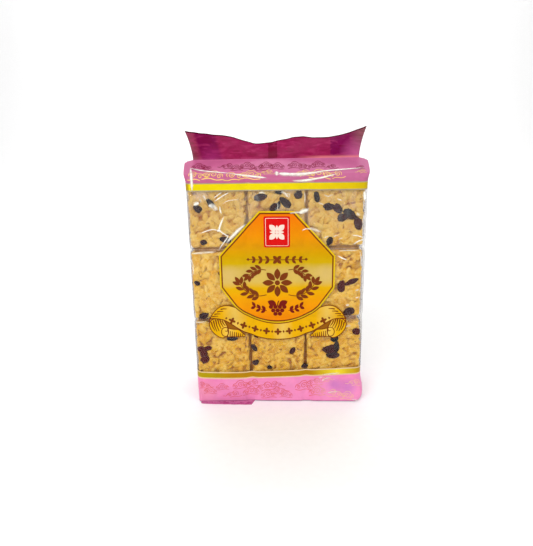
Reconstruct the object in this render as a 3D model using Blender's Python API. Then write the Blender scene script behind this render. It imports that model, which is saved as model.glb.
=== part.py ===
"""A standing side-gusset pack of sachima, built as one closed solid.

The film lies tight on three rows of three cakes, two layers deep, so every cake shows as a soft
pad between shallow furrows. The folded roof rises to a thin top seal that flares into two ears,
a lapped seam runs down the back, and the bottom seal's flap sticks out under the front edge.
"""

import math
import random

import bmesh
import bpy

# Driving dimensions, in metres
PACK_WIDTH = 0.158
PACK_DEPTH = 0.060
ROOF_TOP = 0.2296
CAKE_COLUMNS = 3
CAKE_LAYERS = 2
ROW_FURROWS = (0.0855, 0.1526)
CAKES_BOTTOM = 0.0175
MIDDLE_Y = 0.0022

# The film between two cakes sinks by this much, and each pad differs a little from the next
FURROW_DEPTH = 0.0015
FURROW_REACH = 0.0042
CORNER_FURROW_SHARE = 0.35
CORNER_FADE = 0.012
FOOT_SHARE = 0.6
PAD_VARIATION = 0.0005
PAD_SEED = 7

# Upright edges, bottom edge, the fold from the walls into the roof and the roof itself
CORNER_RADIUS = 0.0050
FOOT_RADIUS = 0.0020
FOOT_HEIGHT = 0.0200
CORNER_STEPS = 3
BOTTOM_EDGE = 0.0012
SHOULDER_RADIUS = 0.0070
SHOULDER_STEPS = 4
SHOULDER_SAG = 0.0014
ROOF_SLOPE = math.radians(21.0)
ROOF_FLARE = 0.0024
ROOF_CLOSES = 0.88
ROOF_LEVELS = (0.3, 0.6, 0.84, 1.0)

# The side panels fold in under the roof, level with the top of the cakes
TUCK_DEPTH = 0.0100
TUCK_START = 0.2180
TUCK_RUN = 0.0040
TUCK_CLOSES = 0.2

# Top seal: a thin fin whose cut edge dips in the middle and rises to the ears
FIN_THICKNESS = 0.0011
FIN_BASE_HALF_WIDTH = 0.0745
EAR_HALF_WIDTH = 0.0800
EAR_FLARE_POWER = 1.7
FIN_LEVELS = (0.10, 0.30, 0.55, 0.80, 1.0)
FIN_EDGE = (
    (-1.00, 0.0254), (-0.78, 0.0224), (-0.52, 0.0198), (-0.22, 0.0132), (0.02, 0.0151),
    (0.24, 0.0184), (0.52, 0.0176), (0.76, 0.0203), (1.00, 0.0271),
)
FIN_LEAN_BACK = 0.0080
EAR_LEAN_FORWARD = 0.0030
FIN_WAVE = 0.0011
FIN_WAVES_ACROSS = 2.5

# Back seam, from its fixed edge to its loose edge, and how far it stands off the back
SEAM_EDGES = (-0.0075, 0.0015)
SEAM_STEP = 0.0010
SEAM_RAISE = 0.0008

# Bottom seal's flap: what of it shows beyond the front edge
FLAP_FROM_X = -0.0760
FLAP_TO_X = -0.0235
FLAP_THICKNESS = 0.0008
FLAP_STEP = 0.0002
FLAP_REACH_NARROW = 0.0018
FLAP_REACH_WIDE = 0.0060

# Lower right corner: the film bulges out over the cakes' foot
BULGE_HEIGHT = 0.0110
BULGE_SIZE = 0.0024
BULGE_SPREAD = 0.0110

# Places along one pad, from furrow to furrow, where the surface has a row or column of points
PAD_STATIONS = (0.0, 0.03, 0.09, 0.25, 0.5, 0.75, 0.91, 0.97)

FILM_COLOUR = (0.78, 0.52, 0.24, 1.0)
FILM_ROUGHNESS = 0.22


def smooth_curve(points, t):
    """Height at t of a Catmull-Rom curve through (t, height) pairs in rising order of t."""
    last = len(points) - 2
    i = 0
    while i < last and t > points[i + 1][0]:
        i += 1
    before = points[max(i - 1, 0)]
    start = points[i]
    end = points[i + 1]
    after = points[min(i + 2, last + 1)]
    span = end[0] - start[0]
    s = (t - start[0]) / span
    slope_in = (end[1] - before[1]) / (end[0] - before[0]) * span
    slope_out = (after[1] - start[1]) / (after[0] - start[0]) * span
    a = 2 * start[1] - 2 * end[1] + slope_in + slope_out
    b = -3 * start[1] + 3 * end[1] - 2 * slope_in - slope_out
    return ((a * s + b) * s + slope_in) * s + start[1]


def smooth_step(t):
    """Rises from 0 to 1 as t does, level at both ends."""
    t = min(max(t, 0.0), 1.0)
    return t * t * (3 - 2 * t)


def pad_places(count, length):
    """Places from -length / 2 to length / 2, close together at the furrows between the pads."""
    pitch = length / count
    places = []
    for pad in range(count):
        for station in PAD_STATIONS:
            places.append((pad + station) * pitch - length / 2)
    places.append(length / 2)
    return places


def wall_places(count, length, extra=()):
    """The stations of one straight wall, without the stretches that its two corners take."""
    half = length / 2 - CORNER_RADIUS
    inner = [p for p in pad_places(count, length) if abs(p) < half - 0.0005]
    return sorted([-half, *inner, *extra, half])


def seam_places():
    """Two stations at each edge of the back seam, so that it stands off with a clear step."""
    low, high = SEAM_EDGES
    return (low - SEAM_STEP / 2, low + SEAM_STEP / 2, high - SEAM_STEP / 2, high + SEAM_STEP / 2)


def stations():
    """One loop round the pack, anticlockwise from above: wall or corner, and place along it."""
    across = wall_places(CAKE_COLUMNS, PACK_WIDTH, seam_places())
    deep = wall_places(CAKE_LAYERS, PACK_DEPTH)
    corner = [math.pi / 2 * k / CORNER_STEPS for k in range(1, CORNER_STEPS)]
    loop = [("front", x) for x in across]
    loop += [("corner", angle - math.pi / 2) for angle in corner]
    loop += [("right", y) for y in deep]
    loop += [("corner", angle) for angle in corner]
    loop += [("back", x) for x in reversed(across)]
    loop += [("corner", angle + math.pi / 2) for angle in corner]
    loop += [("left", y) for y in reversed(deep)]
    loop += [("corner", angle + math.pi) for angle in corner]
    return loop


def outline(station, half_width, half_depth, radius=CORNER_RADIUS):
    """Point and outward direction of a station on a rounded rectangle of that half size."""
    kind, place = station
    across = (half_width - radius) / (PACK_WIDTH / 2 - CORNER_RADIUS)
    deep = (half_depth - radius) / (PACK_DEPTH / 2 - CORNER_RADIUS)
    if kind == "front":
        return place * across, -half_depth, 0.0, -1.0
    if kind == "back":
        return place * across, half_depth, 0.0, 1.0
    if kind == "right":
        return half_width, place * deep, 1.0, 0.0
    if kind == "left":
        return -half_width, place * deep, -1.0, 0.0
    out_x, out_y = math.cos(place), math.sin(place)
    x = math.copysign(half_width - radius, out_x) + radius * out_x
    y = math.copysign(half_depth - radius, out_y) + radius * out_y
    return x, y, out_x, out_y


def corner_radius(z):
    """Radius of the upright edges, which are sharper at the foot."""
    return FOOT_RADIUS + (CORNER_RADIUS - FOOT_RADIUS) * smooth_step(z / FOOT_HEIGHT)


def furrow(distance):
    """1 on the line of a furrow, falling to 0 a little way off it."""
    return math.exp(-((distance / FURROW_REACH) ** 2))


def pad_differences():
    """How much further each pad of each wall stands out than the others."""
    draw = random.Random(PAD_SEED)
    return {
        (wall, column, row): draw.uniform(-PAD_VARIATION, PAD_VARIATION)
        for wall in ("front", "back", "right", "left")
        for column in range(CAKE_COLUMNS)
        for row in range(len(ROW_FURROWS) + 1)
    }


def relief(station, z, differences):
    """How far the film stands off the plain box at this station and height."""
    kind, place = station
    if kind in ("front", "back"):
        count, length = CAKE_COLUMNS, PACK_WIDTH
    else:
        count, length = CAKE_LAYERS, PACK_DEPTH
    off_corner = 0.0 if kind == "corner" else length / 2 - CORNER_RADIUS - abs(place)
    share = CORNER_FURROW_SHARE + (1 - CORNER_FURROW_SHARE) * smooth_step(off_corner / CORNER_FADE)
    depth = 1 - smooth_step((CAKES_BOTTOM - z) / CAKES_BOTTOM) * (1 - FOOT_SHARE)
    for height in ROW_FURROWS:
        depth -= furrow(z - height) * share
    if kind == "corner":
        return FURROW_DEPTH * max(depth, 0.0)
    pitch = length / count
    for edge in range(1, count):
        depth -= furrow(place - (edge * pitch - length / 2))
    column = min(int((place + length / 2) / pitch), count - 1)
    row = sum(z > height for height in ROW_FURROWS)
    across = math.sin(math.pi * ((place + length / 2) / pitch - column))
    low = CAKES_BOTTOM if row == 0 else ROW_FURROWS[row - 1]
    high = ROW_FURROWS[row] if row < len(ROW_FURROWS) else ROOF_TOP
    up = math.sin(math.pi * min(max((z - low) / (high - low), 0.0), 1.0))
    rise = FURROW_DEPTH * max(depth, 0.0) + differences[kind, column, row] * across * up
    if kind == "back" and SEAM_EDGES[0] < place < SEAM_EDGES[1]:
        rise += SEAM_RAISE
    return rise


def right_foot(x, z):
    """Sideways shift of the lower right corner, which bulges out over the cakes' foot."""
    if x < PACK_WIDTH / 4:
        return 0.0
    weight = smooth_step((x - PACK_WIDTH / 4) / (PACK_WIDTH / 4))
    above = max(z - BULGE_HEIGHT, 0.0)
    return weight * BULGE_SIZE * math.exp(-((above / BULGE_SPREAD) ** 2))


def flap_reach(x):
    """How far the bottom seal's flap sticks out beyond the front at x, or None beside it."""
    if not FLAP_FROM_X < x < FLAP_TO_X:
        return None
    t = (x - FLAP_FROM_X) / (FLAP_TO_X - FLAP_FROM_X)
    return FLAP_REACH_NARROW + (FLAP_REACH_WIDE - FLAP_REACH_NARROW) * math.sqrt(t)


def base_half_size():
    """Half width and half depth of the box that the pads stand on."""
    return PACK_WIDTH / 2 - FURROW_DEPTH, PACK_DEPTH / 2 - FURROW_DEPTH


def wall_ring(loop, z, inset, differences, with_flap=False):
    """One ring of the upright walls."""
    half_width, half_depth = base_half_size()
    ring = []
    for station in loop:
        x, y, out_x, out_y = outline(station, half_width, half_depth, corner_radius(z))
        rise = relief(station, z, differences) - inset
        x += out_x * rise + right_foot(x, z)
        y += out_y * rise
        reach = flap_reach(x) if station[0] == "front" and with_flap else None
        if reach is not None:
            y = -PACK_DEPTH / 2 - reach
        ring.append((x, y, z))
    return ring


def bottom_rings(loop, differences):
    """The rounded bottom edge, whose two lowest rings reach out as the flap."""
    rings = []
    for z in (0.0, FLAP_THICKNESS, FLAP_THICKNESS + FLAP_STEP, BOTTOM_EDGE):
        inset = BOTTOM_EDGE - math.sqrt(BOTTOM_EDGE ** 2 - (BOTTOM_EDGE - z) ** 2)
        rings.append(wall_ring(loop, z, inset, differences, with_flap=z <= FLAP_THICKNESS))
    return rings


def wall_heights():
    """Heights of the wall's rings above the bottom edge, close together at the row furrows."""
    edges = (CAKES_BOTTOM, *ROW_FURROWS, TUCK_START)
    heights = [(BOTTOM_EDGE + CAKES_BOTTOM) / 2]
    for low, high in zip(edges, edges[1:]):
        heights += [low + station * (high - low) for station in PAD_STATIONS]
    return [z for z in heights if z < shoulder_start() - FLAP_STEP]


def shoulder_start():
    """Height where the walls begin to turn into the roof."""
    turn = math.pi / 2 - ROOF_SLOPE
    run = PACK_DEPTH / 2 - FIN_THICKNESS - SHOULDER_RADIUS * (1 - math.cos(turn))
    return ROOF_TOP - run * math.tan(ROOF_SLOPE) - SHOULDER_RADIUS * math.sin(turn)


def roof_profile():
    """(inset, height) pairs from the top of the walls to the foot of the fin."""
    turn = math.pi / 2 - ROOF_SLOPE
    start = shoulder_start()
    profile = []
    for k in range(SHOULDER_STEPS + 1):
        angle = turn * k / SHOULDER_STEPS
        rise = SHOULDER_RADIUS * math.sin(angle)
        profile.append((SHOULDER_RADIUS * (1 - math.cos(angle)), start + rise))
    inset, height = profile[-1]
    end_inset = PACK_DEPTH / 2 - FIN_THICKNESS
    for t in ROOF_LEVELS:
        profile.append((inset + (end_inset - inset) * t, height + (ROOF_TOP - height) * t))
    return profile


def roof_half_width(climb):
    """The roof flares a little up to its folded corners, then closes in to the fin."""
    widest = PACK_WIDTH / 2 + ROOF_FLARE
    if climb > ROOF_CLOSES:
        closing = (climb - ROOF_CLOSES) / (1 - ROOF_CLOSES)
        return widest + (FIN_BASE_HALF_WIDTH - widest) * closing
    return PACK_WIDTH / 2 + ROOF_FLARE * smooth_step(climb / ROOF_CLOSES)


def roof_ring(loop, inset, z, differences):
    """One ring of the roof: the front and back close in, and the side panels tuck under."""
    start = shoulder_start()
    climb = (z - start) / (ROOF_TOP - start)
    half_depth = PACK_DEPTH / 2 - inset
    half_width = roof_half_width(climb)
    radius = CORNER_RADIUS * (1 - smooth_step(climb * 2)) + FIN_THICKNESS / 2
    tuck = TUCK_DEPTH * smooth_step((z - TUCK_START) / TUCK_RUN)
    tuck *= smooth_step((1 - climb) / TUCK_CLOSES)
    ring = []
    for station in loop:
        x, y, out_x, out_y = outline(station, half_width, half_depth, radius)
        if station[0] in ("left", "right"):
            x -= out_x * tuck * (1 - abs(station[1]) / (PACK_DEPTH / 2 - CORNER_RADIUS))
        fade = 1 - smooth_step(climb * 2)
        lift = relief(station, z, differences) - FURROW_DEPTH
        x += out_x * lift * fade
        y += out_y * lift * fade
        across = min(abs(x) / half_width, 1.0)
        sag = SHOULDER_SAG * (1 - across ** 2) * math.sin(math.pi * climb)
        ring.append((x, y, z - sag))
    return ring


def fin_point(across, level, side):
    """A point of the top seal: across and side run from -1 to 1, level from its foot to its edge."""
    width = EAR_HALF_WIDTH - FIN_BASE_HALF_WIDTH
    half_width = FIN_BASE_HALF_WIDTH + width * level ** EAR_FLARE_POWER
    height = smooth_curve(FIN_EDGE, across) * level
    lean = FIN_LEAN_BACK * (1 - across * across) - EAR_LEAN_FORWARD * across ** 4
    wave = FIN_WAVE * math.sin(math.pi * FIN_WAVES_ACROSS * (across + 0.13))
    y = lean * level ** 1.5 + wave * level + side * FIN_THICKNESS / 2
    return across * half_width, y, ROOF_TOP + height


def fin_ring(loop, level):
    """One ring of the top seal. Its ends are so thin that all the side stations share two points."""
    half = PACK_WIDTH / 2 - CORNER_RADIUS
    ring = []
    for kind, place in loop:
        if kind == "front":
            across, side = place / half, -1.0
        elif kind == "back":
            across, side = place / half, 1.0
        elif kind == "corner":
            across, side = math.copysign(1.0, math.cos(place)), math.copysign(1.0, math.sin(place))
        else:
            across = 1.0 if kind == "right" else -1.0
            side = math.copysign(1.0, place)
        ring.append(fin_point(across, level, side))
    return ring


def pack_rings(loop):
    """Every ring of the pack, from its flat bottom to the cut edge of the top seal."""
    differences = pad_differences()
    rings = bottom_rings(loop, differences)
    rings += [wall_ring(loop, z, 0.0, differences) for z in wall_heights()]
    rings += [roof_ring(loop, inset, z, differences) for inset, z in roof_profile()]
    rings += [fin_ring(loop, level) for level in FIN_LEVELS]
    return rings


def close_fin(mesh, ring, loop):
    """Caps the fin's cut edge with a strip between its front points and its back points."""
    front = [i for i, station in enumerate(loop) if station[0] == "front"]
    back = [i for i, station in enumerate(loop) if station[0] == "back"]
    back.reverse()
    for k in range(len(front) - 1):
        corners = (ring[front[k]], ring[front[k + 1]], ring[back[k + 1]], ring[back[k]])
        mesh.faces.new(corners)


def build_pack():
    """The pack's mesh: rings joined by faces, a flat bottom and a capped fin."""
    loop = stations()
    mesh = bmesh.new()
    rings = []
    for ring in pack_rings(loop):
        rings.append([mesh.verts.new((x, y + MIDDLE_Y, z)) for x, y, z in ring])
    count = len(loop)
    for low, high in zip(rings, rings[1:]):
        for i in range(count):
            j = (i + 1) % count
            mesh.faces.new((low[i], low[j], high[j], high[i]))
    mesh.faces.new(list(reversed(rings[0])))
    close_fin(mesh, rings[-1], loop)
    bmesh.ops.remove_doubles(mesh, verts=mesh.verts, dist=1e-6)
    bmesh.ops.recalc_face_normals(mesh, faces=mesh.faces)
    return mesh


def film_material():
    """Clear film over golden cakes, read as one colour."""
    material = bpy.data.materials.new("film_over_cakes")
    material.use_nodes = True
    shader = material.node_tree.nodes["Principled BSDF"]
    shader.inputs["Base Color"].default_value = FILM_COLOUR
    shader.inputs["Roughness"].default_value = FILM_ROUGHNESS
    shader.inputs["Metallic"].default_value = 0.0
    return material


def main():
    for old in list(bpy.data.objects):
        bpy.data.objects.remove(old, do_unlink=True)
    mesh = bpy.data.meshes.new("sealed_bag")
    shape = build_pack()
    shape.to_mesh(mesh)
    shape.free()
    mesh.shade_smooth()
    mesh.set_sharp_from_angle(angle=math.radians(40))
    mesh.materials.append(film_material())
    pack = bpy.data.objects.new("sealed_bag", mesh)
    bpy.context.scene.collection.objects.link(pack)


main()
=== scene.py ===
"""An upright clear film pack of sachima with raisins: its looks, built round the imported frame.

Lengths are in metres. x runs to the right across the front, y from the front to the back and z up.
A station is a place on the loop round the pack, and s is the way up its skin from the floor.
"""

import math
import random

import bmesh
import bpy
import numpy as np
from mathutils import Matrix, Vector, noise


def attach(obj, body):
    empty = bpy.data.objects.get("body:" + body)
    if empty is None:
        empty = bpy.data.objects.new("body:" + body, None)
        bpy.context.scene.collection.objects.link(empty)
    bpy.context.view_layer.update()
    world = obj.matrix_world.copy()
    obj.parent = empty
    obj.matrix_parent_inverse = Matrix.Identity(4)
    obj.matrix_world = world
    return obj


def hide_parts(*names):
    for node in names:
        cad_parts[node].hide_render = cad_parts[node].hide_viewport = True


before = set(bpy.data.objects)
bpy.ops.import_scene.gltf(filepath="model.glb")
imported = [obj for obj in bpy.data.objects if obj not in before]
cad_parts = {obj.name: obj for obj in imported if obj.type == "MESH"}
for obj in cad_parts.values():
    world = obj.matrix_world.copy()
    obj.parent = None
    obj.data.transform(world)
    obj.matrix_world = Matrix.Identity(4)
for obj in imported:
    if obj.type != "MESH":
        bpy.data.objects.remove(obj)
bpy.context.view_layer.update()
NODE = "sealed_bag"
BODY = "root"
MM = 0.001

# The pack's form, as the solid has it
PACK_WIDTH = 0.158
PACK_DEPTH = 0.060
ROOF_TOP = 0.2296
MIDDLE_Y = 0.0022
FRONT_Y = MIDDLE_Y - PACK_DEPTH / 2
WALLS = {"front": (1, -1), "back": (1, 1), "left": (0, -1), "right": (0, 1)}
ROW_FURROWS = (0.0855, 0.1526)
CAKES_BOTTOM = 0.0175
FURROW_DEPTH = 0.0015
FURROW_REACH = 0.0042
CORNER_FURROW_SHARE = 0.35
CORNER_FADE = 0.012
FOOT_SHARE = 0.6
CORNER_RADIUS = 0.0050
FOOT_RADIUS = 0.0020
FOOT_HEIGHT = 0.0200
BOTTOM_EDGE = 0.0012
SHOULDER_RADIUS = 0.0070
SHOULDER_SAG = 0.0014
ROOF_SLOPE = math.radians(21.0)
ROOF_FLARE = 0.0024
ROOF_CLOSES = 0.88
TUCK_DEPTH = 0.0100
TUCK_START = 0.2180
TUCK_RUN = 0.0040
TUCK_CLOSES = 0.2
FIN_THICKNESS = 0.0005
FIN_BASE_HALF_WIDTH = 0.0745
EAR_HALF_WIDTH = 0.0800
EAR_FLARE_POWER = 1.7
FIN_EDGE = (
    (-1.00, 0.0254), (-0.78, 0.0224), (-0.52, 0.0198), (-0.22, 0.0132), (0.02, 0.0151),
    (0.24, 0.0184), (0.52, 0.0176), (0.76, 0.0203), (1.00, 0.0271),
)
FIN_LEAN_BACK = 0.0080
EAR_LEAN_FORWARD = 0.0030
FIN_RAGGED = 11.0
FIN_RAG = 0.0005
FIN_WAVE = 0.0011
FIN_WAVES_ACROSS = 2.5
FIN_WAVE_START = 0.13
FIN_LEAN_POWER = 1.5
BULGE_HEIGHT = 0.0110
BULGE_SIZE = 0.0024
BULGE_SPREAD = 0.0110
CORNER_TUCK = 0.0062
CORNER_TUCK_HEIGHT = 0.0100
TUCK_FROM_X = 0.0580
FOOT_FORWARD = 0.0042
FOOT_FROM_X = -0.0240
FOOT_SPREAD = 0.0105

# Mesh steps of the film, and its soft unevenness
FILM_STEP = 0.0013
CORNER_STEPS = 5
SHOULDER_STEPS = 8
ROOF_STEPS = 16
FIN_STEPS = 14
FIN_LINE = 0.045
FILM_UNEVENNESS = 0.00028
FILM_UNEVEN_SCALE = 45.0
FILM_UNEVEN_FADE = 0.015
FOOT_RINGS = (0.0, 0.0003, 0.0008)

# Zones of the print, each with the height where it ends, from the floor to the fold of the roof
ZONES = (
    (0.0259, "pink_low"), (0.0271, "cream_line"), (0.0321, "gold_low"), (0.0333, "cream_line"),
    (0.2054, "clear"), (0.2064, "silver_line"), (0.2118, "gold_top"), (0.2126, "silver_line"),
)
LOW_WARP = ((-0.079, 0.0003), (-0.047, -0.0009), (-0.004, -0.0003), (0.040, 0.0010), (0.079, 0.0025))
TOP_WARP_RIGHT = -0.0008
LOW_WARP_RISE = 0.020
LOW_WARP_FALL = (0.036, 0.030)
TOP_WARP_RISE = (0.185, 0.020)
TOP_WARP_FALL = (0.2126, 0.010)

# Cakes: three columns, three rows and two layers inside the film
CAKE_COLUMN_EDGES = (-0.0784, -0.0264, 0.0257, 0.0769)
CAKE_ROWS = ((0.0105, 0.0838), (0.0872, 0.1513), (0.1543, 0.2168))
CAKE_GAP = 0.0013
CAKE_RADIUS = 0.0028
CAKE_FACE = 0.0286
LAYER_GAP = 0.0010

# How strongly the studio lights the front, and the white sheen that gloss adds
FRONT_LIGHT = 1.17
SHEEN = 0.008

# Photograph's camera
IMAGE_WIDTH = 533
IMAGE_HEIGHT = 546
FOCAL_PIXELS = 513.0
CAMERA_PLACE = (-0.0089, MIDDLE_Y - 0.4705, 0.2702)
CAMERA_PITCH = math.radians(17.5)
CAMERA_YAW = math.radians(-0.17)
CAMERA_ROLL = math.radians(-0.99)

# Studio: white light all round, and each lamp's name, place, target, width and height, and power
WHITE = (1.0, 1.0, 1.0, 1.0)
WORLD_LIGHT = 0.55
LAMPS = (
    ("key", (-0.35, -0.9, 0.95), (0.0, 0.0, 0.12), (0.7, 0.5), 5.0),
    ("fill", (0.8, -0.6, 0.5), (0.0, 0.0, 0.12), (0.6, 0.6), 1.6),
    ("strip_top", (0.0, -0.55, 0.85), (0.0, 0.0, 0.2), (1.2, 0.02), 2.2),
    ("strip_left", (-0.75, -0.75, 0.35), (0.0, 0.0, 0.15), (0.03, 0.7), 1.6),
    ("backdrop_wash", (0.0, 0.9, 1.6), (0.0, 1.9, 0.4), (2.0, 0.8), 26.0),
)

# The way up the skin at the ends of the shoulder and the roof
SHOULDER_TURN = math.pi / 2 - ROOF_SLOPE
ROOF_RUN = PACK_DEPTH / 2 - FIN_THICKNESS - SHOULDER_RADIUS * (1 - math.cos(SHOULDER_TURN))
SHOULDER_START = ROOF_TOP - ROOF_RUN * math.tan(ROOF_SLOPE) - SHOULDER_RADIUS * math.sin(SHOULDER_TURN)
SHOULDER_END = SHOULDER_START + SHOULDER_RADIUS * SHOULDER_TURN
ROOF_END = SHOULDER_END + ROOF_RUN / math.cos(ROOF_SLOPE)


def srgb(red, green, blue, light=FRONT_LIGHT):
    """Colour that looks like this 8-bit screen colour under the studio's light and sheen."""
    channels = [c / 255 for c in (red, green, blue)]
    linear = [c / 12.92 if c <= 0.04045 else ((c + 0.055) / 1.055) ** 2.4 for c in channels]
    return (*[max(c - SHEEN, 0.0004) / light for c in linear], 1.0)


def smooth_step(t):
    """Rises from 0 to 1 as t does, level at both ends."""
    t = min(max(t, 0.0), 1.0)
    return t * t * (3 - 2 * t)


def smooth_curve(points, t):
    """Height at t of a Catmull-Rom curve through (t, height) pairs in rising order of t."""
    last = len(points) - 2
    i = 0
    while i < last and t > points[i + 1][0]:
        i += 1
    before = points[max(i - 1, 0)]
    start = points[i]
    end = points[i + 1]
    after = points[min(i + 2, last + 1)]
    span = end[0] - start[0]
    s = (t - start[0]) / span
    slope_in = (end[1] - before[1]) / (end[0] - before[0]) * span
    slope_out = (after[1] - start[1]) / (after[0] - start[0]) * span
    a = 2 * start[1] - 2 * end[1] + slope_in + slope_out
    b = -3 * start[1] + 3 * end[1] - 2 * slope_in - slope_out
    return ((a * s + b) * s + slope_in) * s + start[1]


# Camera, lights and floor


def camera_axes():
    """The camera's right, up and forward directions."""
    sin_yaw, cos_yaw = math.sin(CAMERA_YAW), math.cos(CAMERA_YAW)
    sin_pitch, cos_pitch = math.sin(CAMERA_PITCH), math.cos(CAMERA_PITCH)
    forward = Vector((sin_yaw * cos_pitch, cos_yaw * cos_pitch, -sin_pitch))
    level = Vector((cos_yaw, -sin_yaw, 0.0))
    steep = level.cross(forward)
    cos_roll, sin_roll = math.cos(CAMERA_ROLL), math.sin(CAMERA_ROLL)
    return cos_roll * level + sin_roll * steep, -sin_roll * level + cos_roll * steep, forward


def make_camera():
    """The photograph's view: just above the pack, looking down on its front."""
    right, up, forward = camera_axes()
    data = bpy.data.cameras.new("camera")
    data.sensor_width = 36.0
    data.lens = data.sensor_width * FOCAL_PIXELS / IMAGE_HEIGHT
    data.clip_start = 0.01
    camera = bpy.data.objects.new("camera", data)
    turn = Matrix((right, up, -forward)).transposed().to_4x4()
    camera.matrix_world = Matrix.Translation(CAMERA_PLACE) @ turn
    bpy.context.scene.collection.objects.link(camera)
    bpy.context.scene.camera = camera


def front_at_pixel(px, py):
    """x and z of the front face behind a pixel of the photograph."""
    right, up, forward = camera_axes()
    across = (px - IMAGE_WIDTH / 2) / FOCAL_PIXELS
    down = (py - IMAGE_HEIGHT / 2) / FOCAL_PIXELS
    ray = forward + across * right - down * up
    reach = (FRONT_Y - CAMERA_PLACE[1]) / ray.y
    return CAMERA_PLACE[0] + ray.x * reach, CAMERA_PLACE[2] + ray.z * reach


def area_light(name, place, target, size, power):
    """A rectangular lamp of that width and height, turned to its target."""
    data = bpy.data.lights.new(name, "AREA")
    data.shape = "RECTANGLE"
    data.size, data.size_y = size
    data.energy = power
    lamp = bpy.data.objects.new(name, data)
    lamp.location = place
    lamp.rotation_euler = (Vector(target) - Vector(place)).to_track_quat("-Z", "Y").to_euler()
    bpy.context.scene.collection.objects.link(lamp)


def make_light():
    """Soft studio light all round, with a wide lamp above the front and slim ones for sharp glints."""
    world = bpy.data.worlds.new("studio")
    world.use_nodes = True
    set_inputs(world.node_tree.nodes["Background"], {"Color": WHITE, "Strength": WORLD_LIGHT})
    bpy.context.scene.world = world
    for lamp in LAMPS:
        area_light(*lamp)
    bpy.context.scene.view_settings.view_transform = "Standard"
    bpy.context.scene.view_settings.look = "None"


# Materials

# Sockets of the Mix node when it mixes colours: its factor and two colours, and its result
MIX_INPUTS = (0, 6, 7)
MIX_RESULT = 2


def new_material(name):
    """A node material with its Principled shader: (material, tree, shader)."""
    material = bpy.data.materials.new(name)
    material.use_nodes = True
    tree = material.node_tree
    return material, tree, tree.nodes["Principled BSDF"]


def feed(tree, socket, value):
    """Gives a socket another node's output, or a plain number or colour."""
    if isinstance(value, bpy.types.NodeSocket):
        tree.links.new(value, socket)
    else:
        socket.default_value = value


def set_inputs(node, values):
    """Sets a node's sockets by name."""
    for socket, value in values.items():
        feed(node.id_data, node.inputs[socket], value)


def place_of(tree, axis=None):
    """The object's own coordinates, or one of them as a number."""
    coordinates = tree.nodes.new("ShaderNodeTexCoord").outputs["Object"]
    if axis is None:
        return coordinates
    split = tree.nodes.new("ShaderNodeSeparateXYZ")
    tree.links.new(coordinates, split.inputs[0])
    return split.outputs[axis]


def attribute_value(tree, name):
    """The number of that name that the mesh keeps for each point."""
    node = tree.nodes.new("ShaderNodeAttribute")
    node.attribute_name = name
    return node.outputs["Fac"]


def two_inputs(tree, kind, operation, first, second):
    """A maths node that works on two values, each a plain one or an output."""
    node = tree.nodes.new(kind)
    node.operation = operation
    feed(tree, node.inputs[0], first)
    feed(tree, node.inputs[1], second)
    return node


def product(tree, first, second):
    """The product of two numbers."""
    return two_inputs(tree, "ShaderNodeMath", "MULTIPLY", first, second).outputs[0]


def cloud_value(tree, scale, detail=3.0, distortion=0.0, stretch=None):
    """A noise value in the object's own coordinates, finer along an axis the more it is stretched."""
    place = place_of(tree)
    if stretch:
        place = two_inputs(tree, "ShaderNodeVectorMath", "MULTIPLY", place, stretch).outputs[0]
    cloud = tree.nodes.new("ShaderNodeTexNoise")
    set_inputs(cloud, {"Scale": scale, "Detail": detail, "Distortion": distortion, "Vector": place})
    return cloud.outputs["Fac"]


def ranged(tree, value, low, high, to_low=0.0, to_high=1.0):
    """A value taken from one range to another, held at its ends."""
    node = tree.nodes.new("ShaderNodeMapRange")
    limits = {"From Min": low, "From Max": high, "To Min": to_low, "To Max": to_high}
    set_inputs(node, {**limits, "Value": value})
    return node.outputs["Result"]


def colour_ramp(tree, value, stops):
    """A colour ramp through (place, colour) stops."""
    node = tree.nodes.new("ShaderNodeValToRGB")
    ramp = node.color_ramp
    while len(ramp.elements) < len(stops):
        ramp.elements.new(0.5)
    for element, (place, colour) in zip(ramp.elements, sorted(stops)):
        element.position = place
        element.color = colour
    tree.links.new(value, node.inputs["Fac"])
    return node.outputs["Color"]


def mixed(tree, factor, first, second, blend="MIX"):
    """Two colours mixed: each may be a colour or an output, and the factor a number or an output."""
    node = tree.nodes.new("ShaderNodeMix")
    node.data_type = "RGBA"
    node.blend_type = blend
    for socket, value in zip(MIX_INPUTS, (factor, first, second)):
        feed(tree, node.inputs[socket], value)
    return node.outputs[MIX_RESULT]


def add_bump(tree, shader, height, distance):
    """Small relief from a height value, as deep as that distance."""
    bump = tree.nodes.new("ShaderNodeBump")
    set_inputs(bump, {"Distance": distance, "Height": height})
    tree.links.new(bump.outputs["Normal"], shader.inputs["Normal"])


def axis_ramp(tree, axis, stops):
    """A colour ramp along one axis of the object, with its stops at real places."""
    low, high = stops[0][0], stops[-1][0]
    value = ranged(tree, place_of(tree, axis), low, high)
    return colour_ramp(tree, value, [((place - low) / (high - low), colour) for place, colour in stops])


def ink_material(name, colour, roughness=0.3, metallic=0.0, shine=0.12, mottle=0.05, bump=0.0002):
    """Glossy ink on film: a colour, or a function that makes one, faintly mottled."""
    material, tree, shader = new_material(name)
    base = colour(tree) if callable(colour) else colour
    speck = ranged(tree, cloud_value(tree, MOTTLE_SCALE), 0.3, 0.7, 1.0 - mottle, 1.0 + mottle)
    grey = tree.nodes.new("ShaderNodeCombineColor")
    set_inputs(grey, {"Red": speck, "Green": speck, "Blue": speck})
    shaded = mixed(tree, 1.0, base, grey.outputs["Color"], "MULTIPLY")
    set_inputs(shader, {"Base Color": shaded, "Roughness": roughness, "Metallic": metallic})
    set_inputs(shader, {"Specular IOR Level": shine})
    add_bump(tree, shader, cloud_value(tree, INK_BUMP_SCALE, 4.0, 0.6), bump)
    return material


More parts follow.
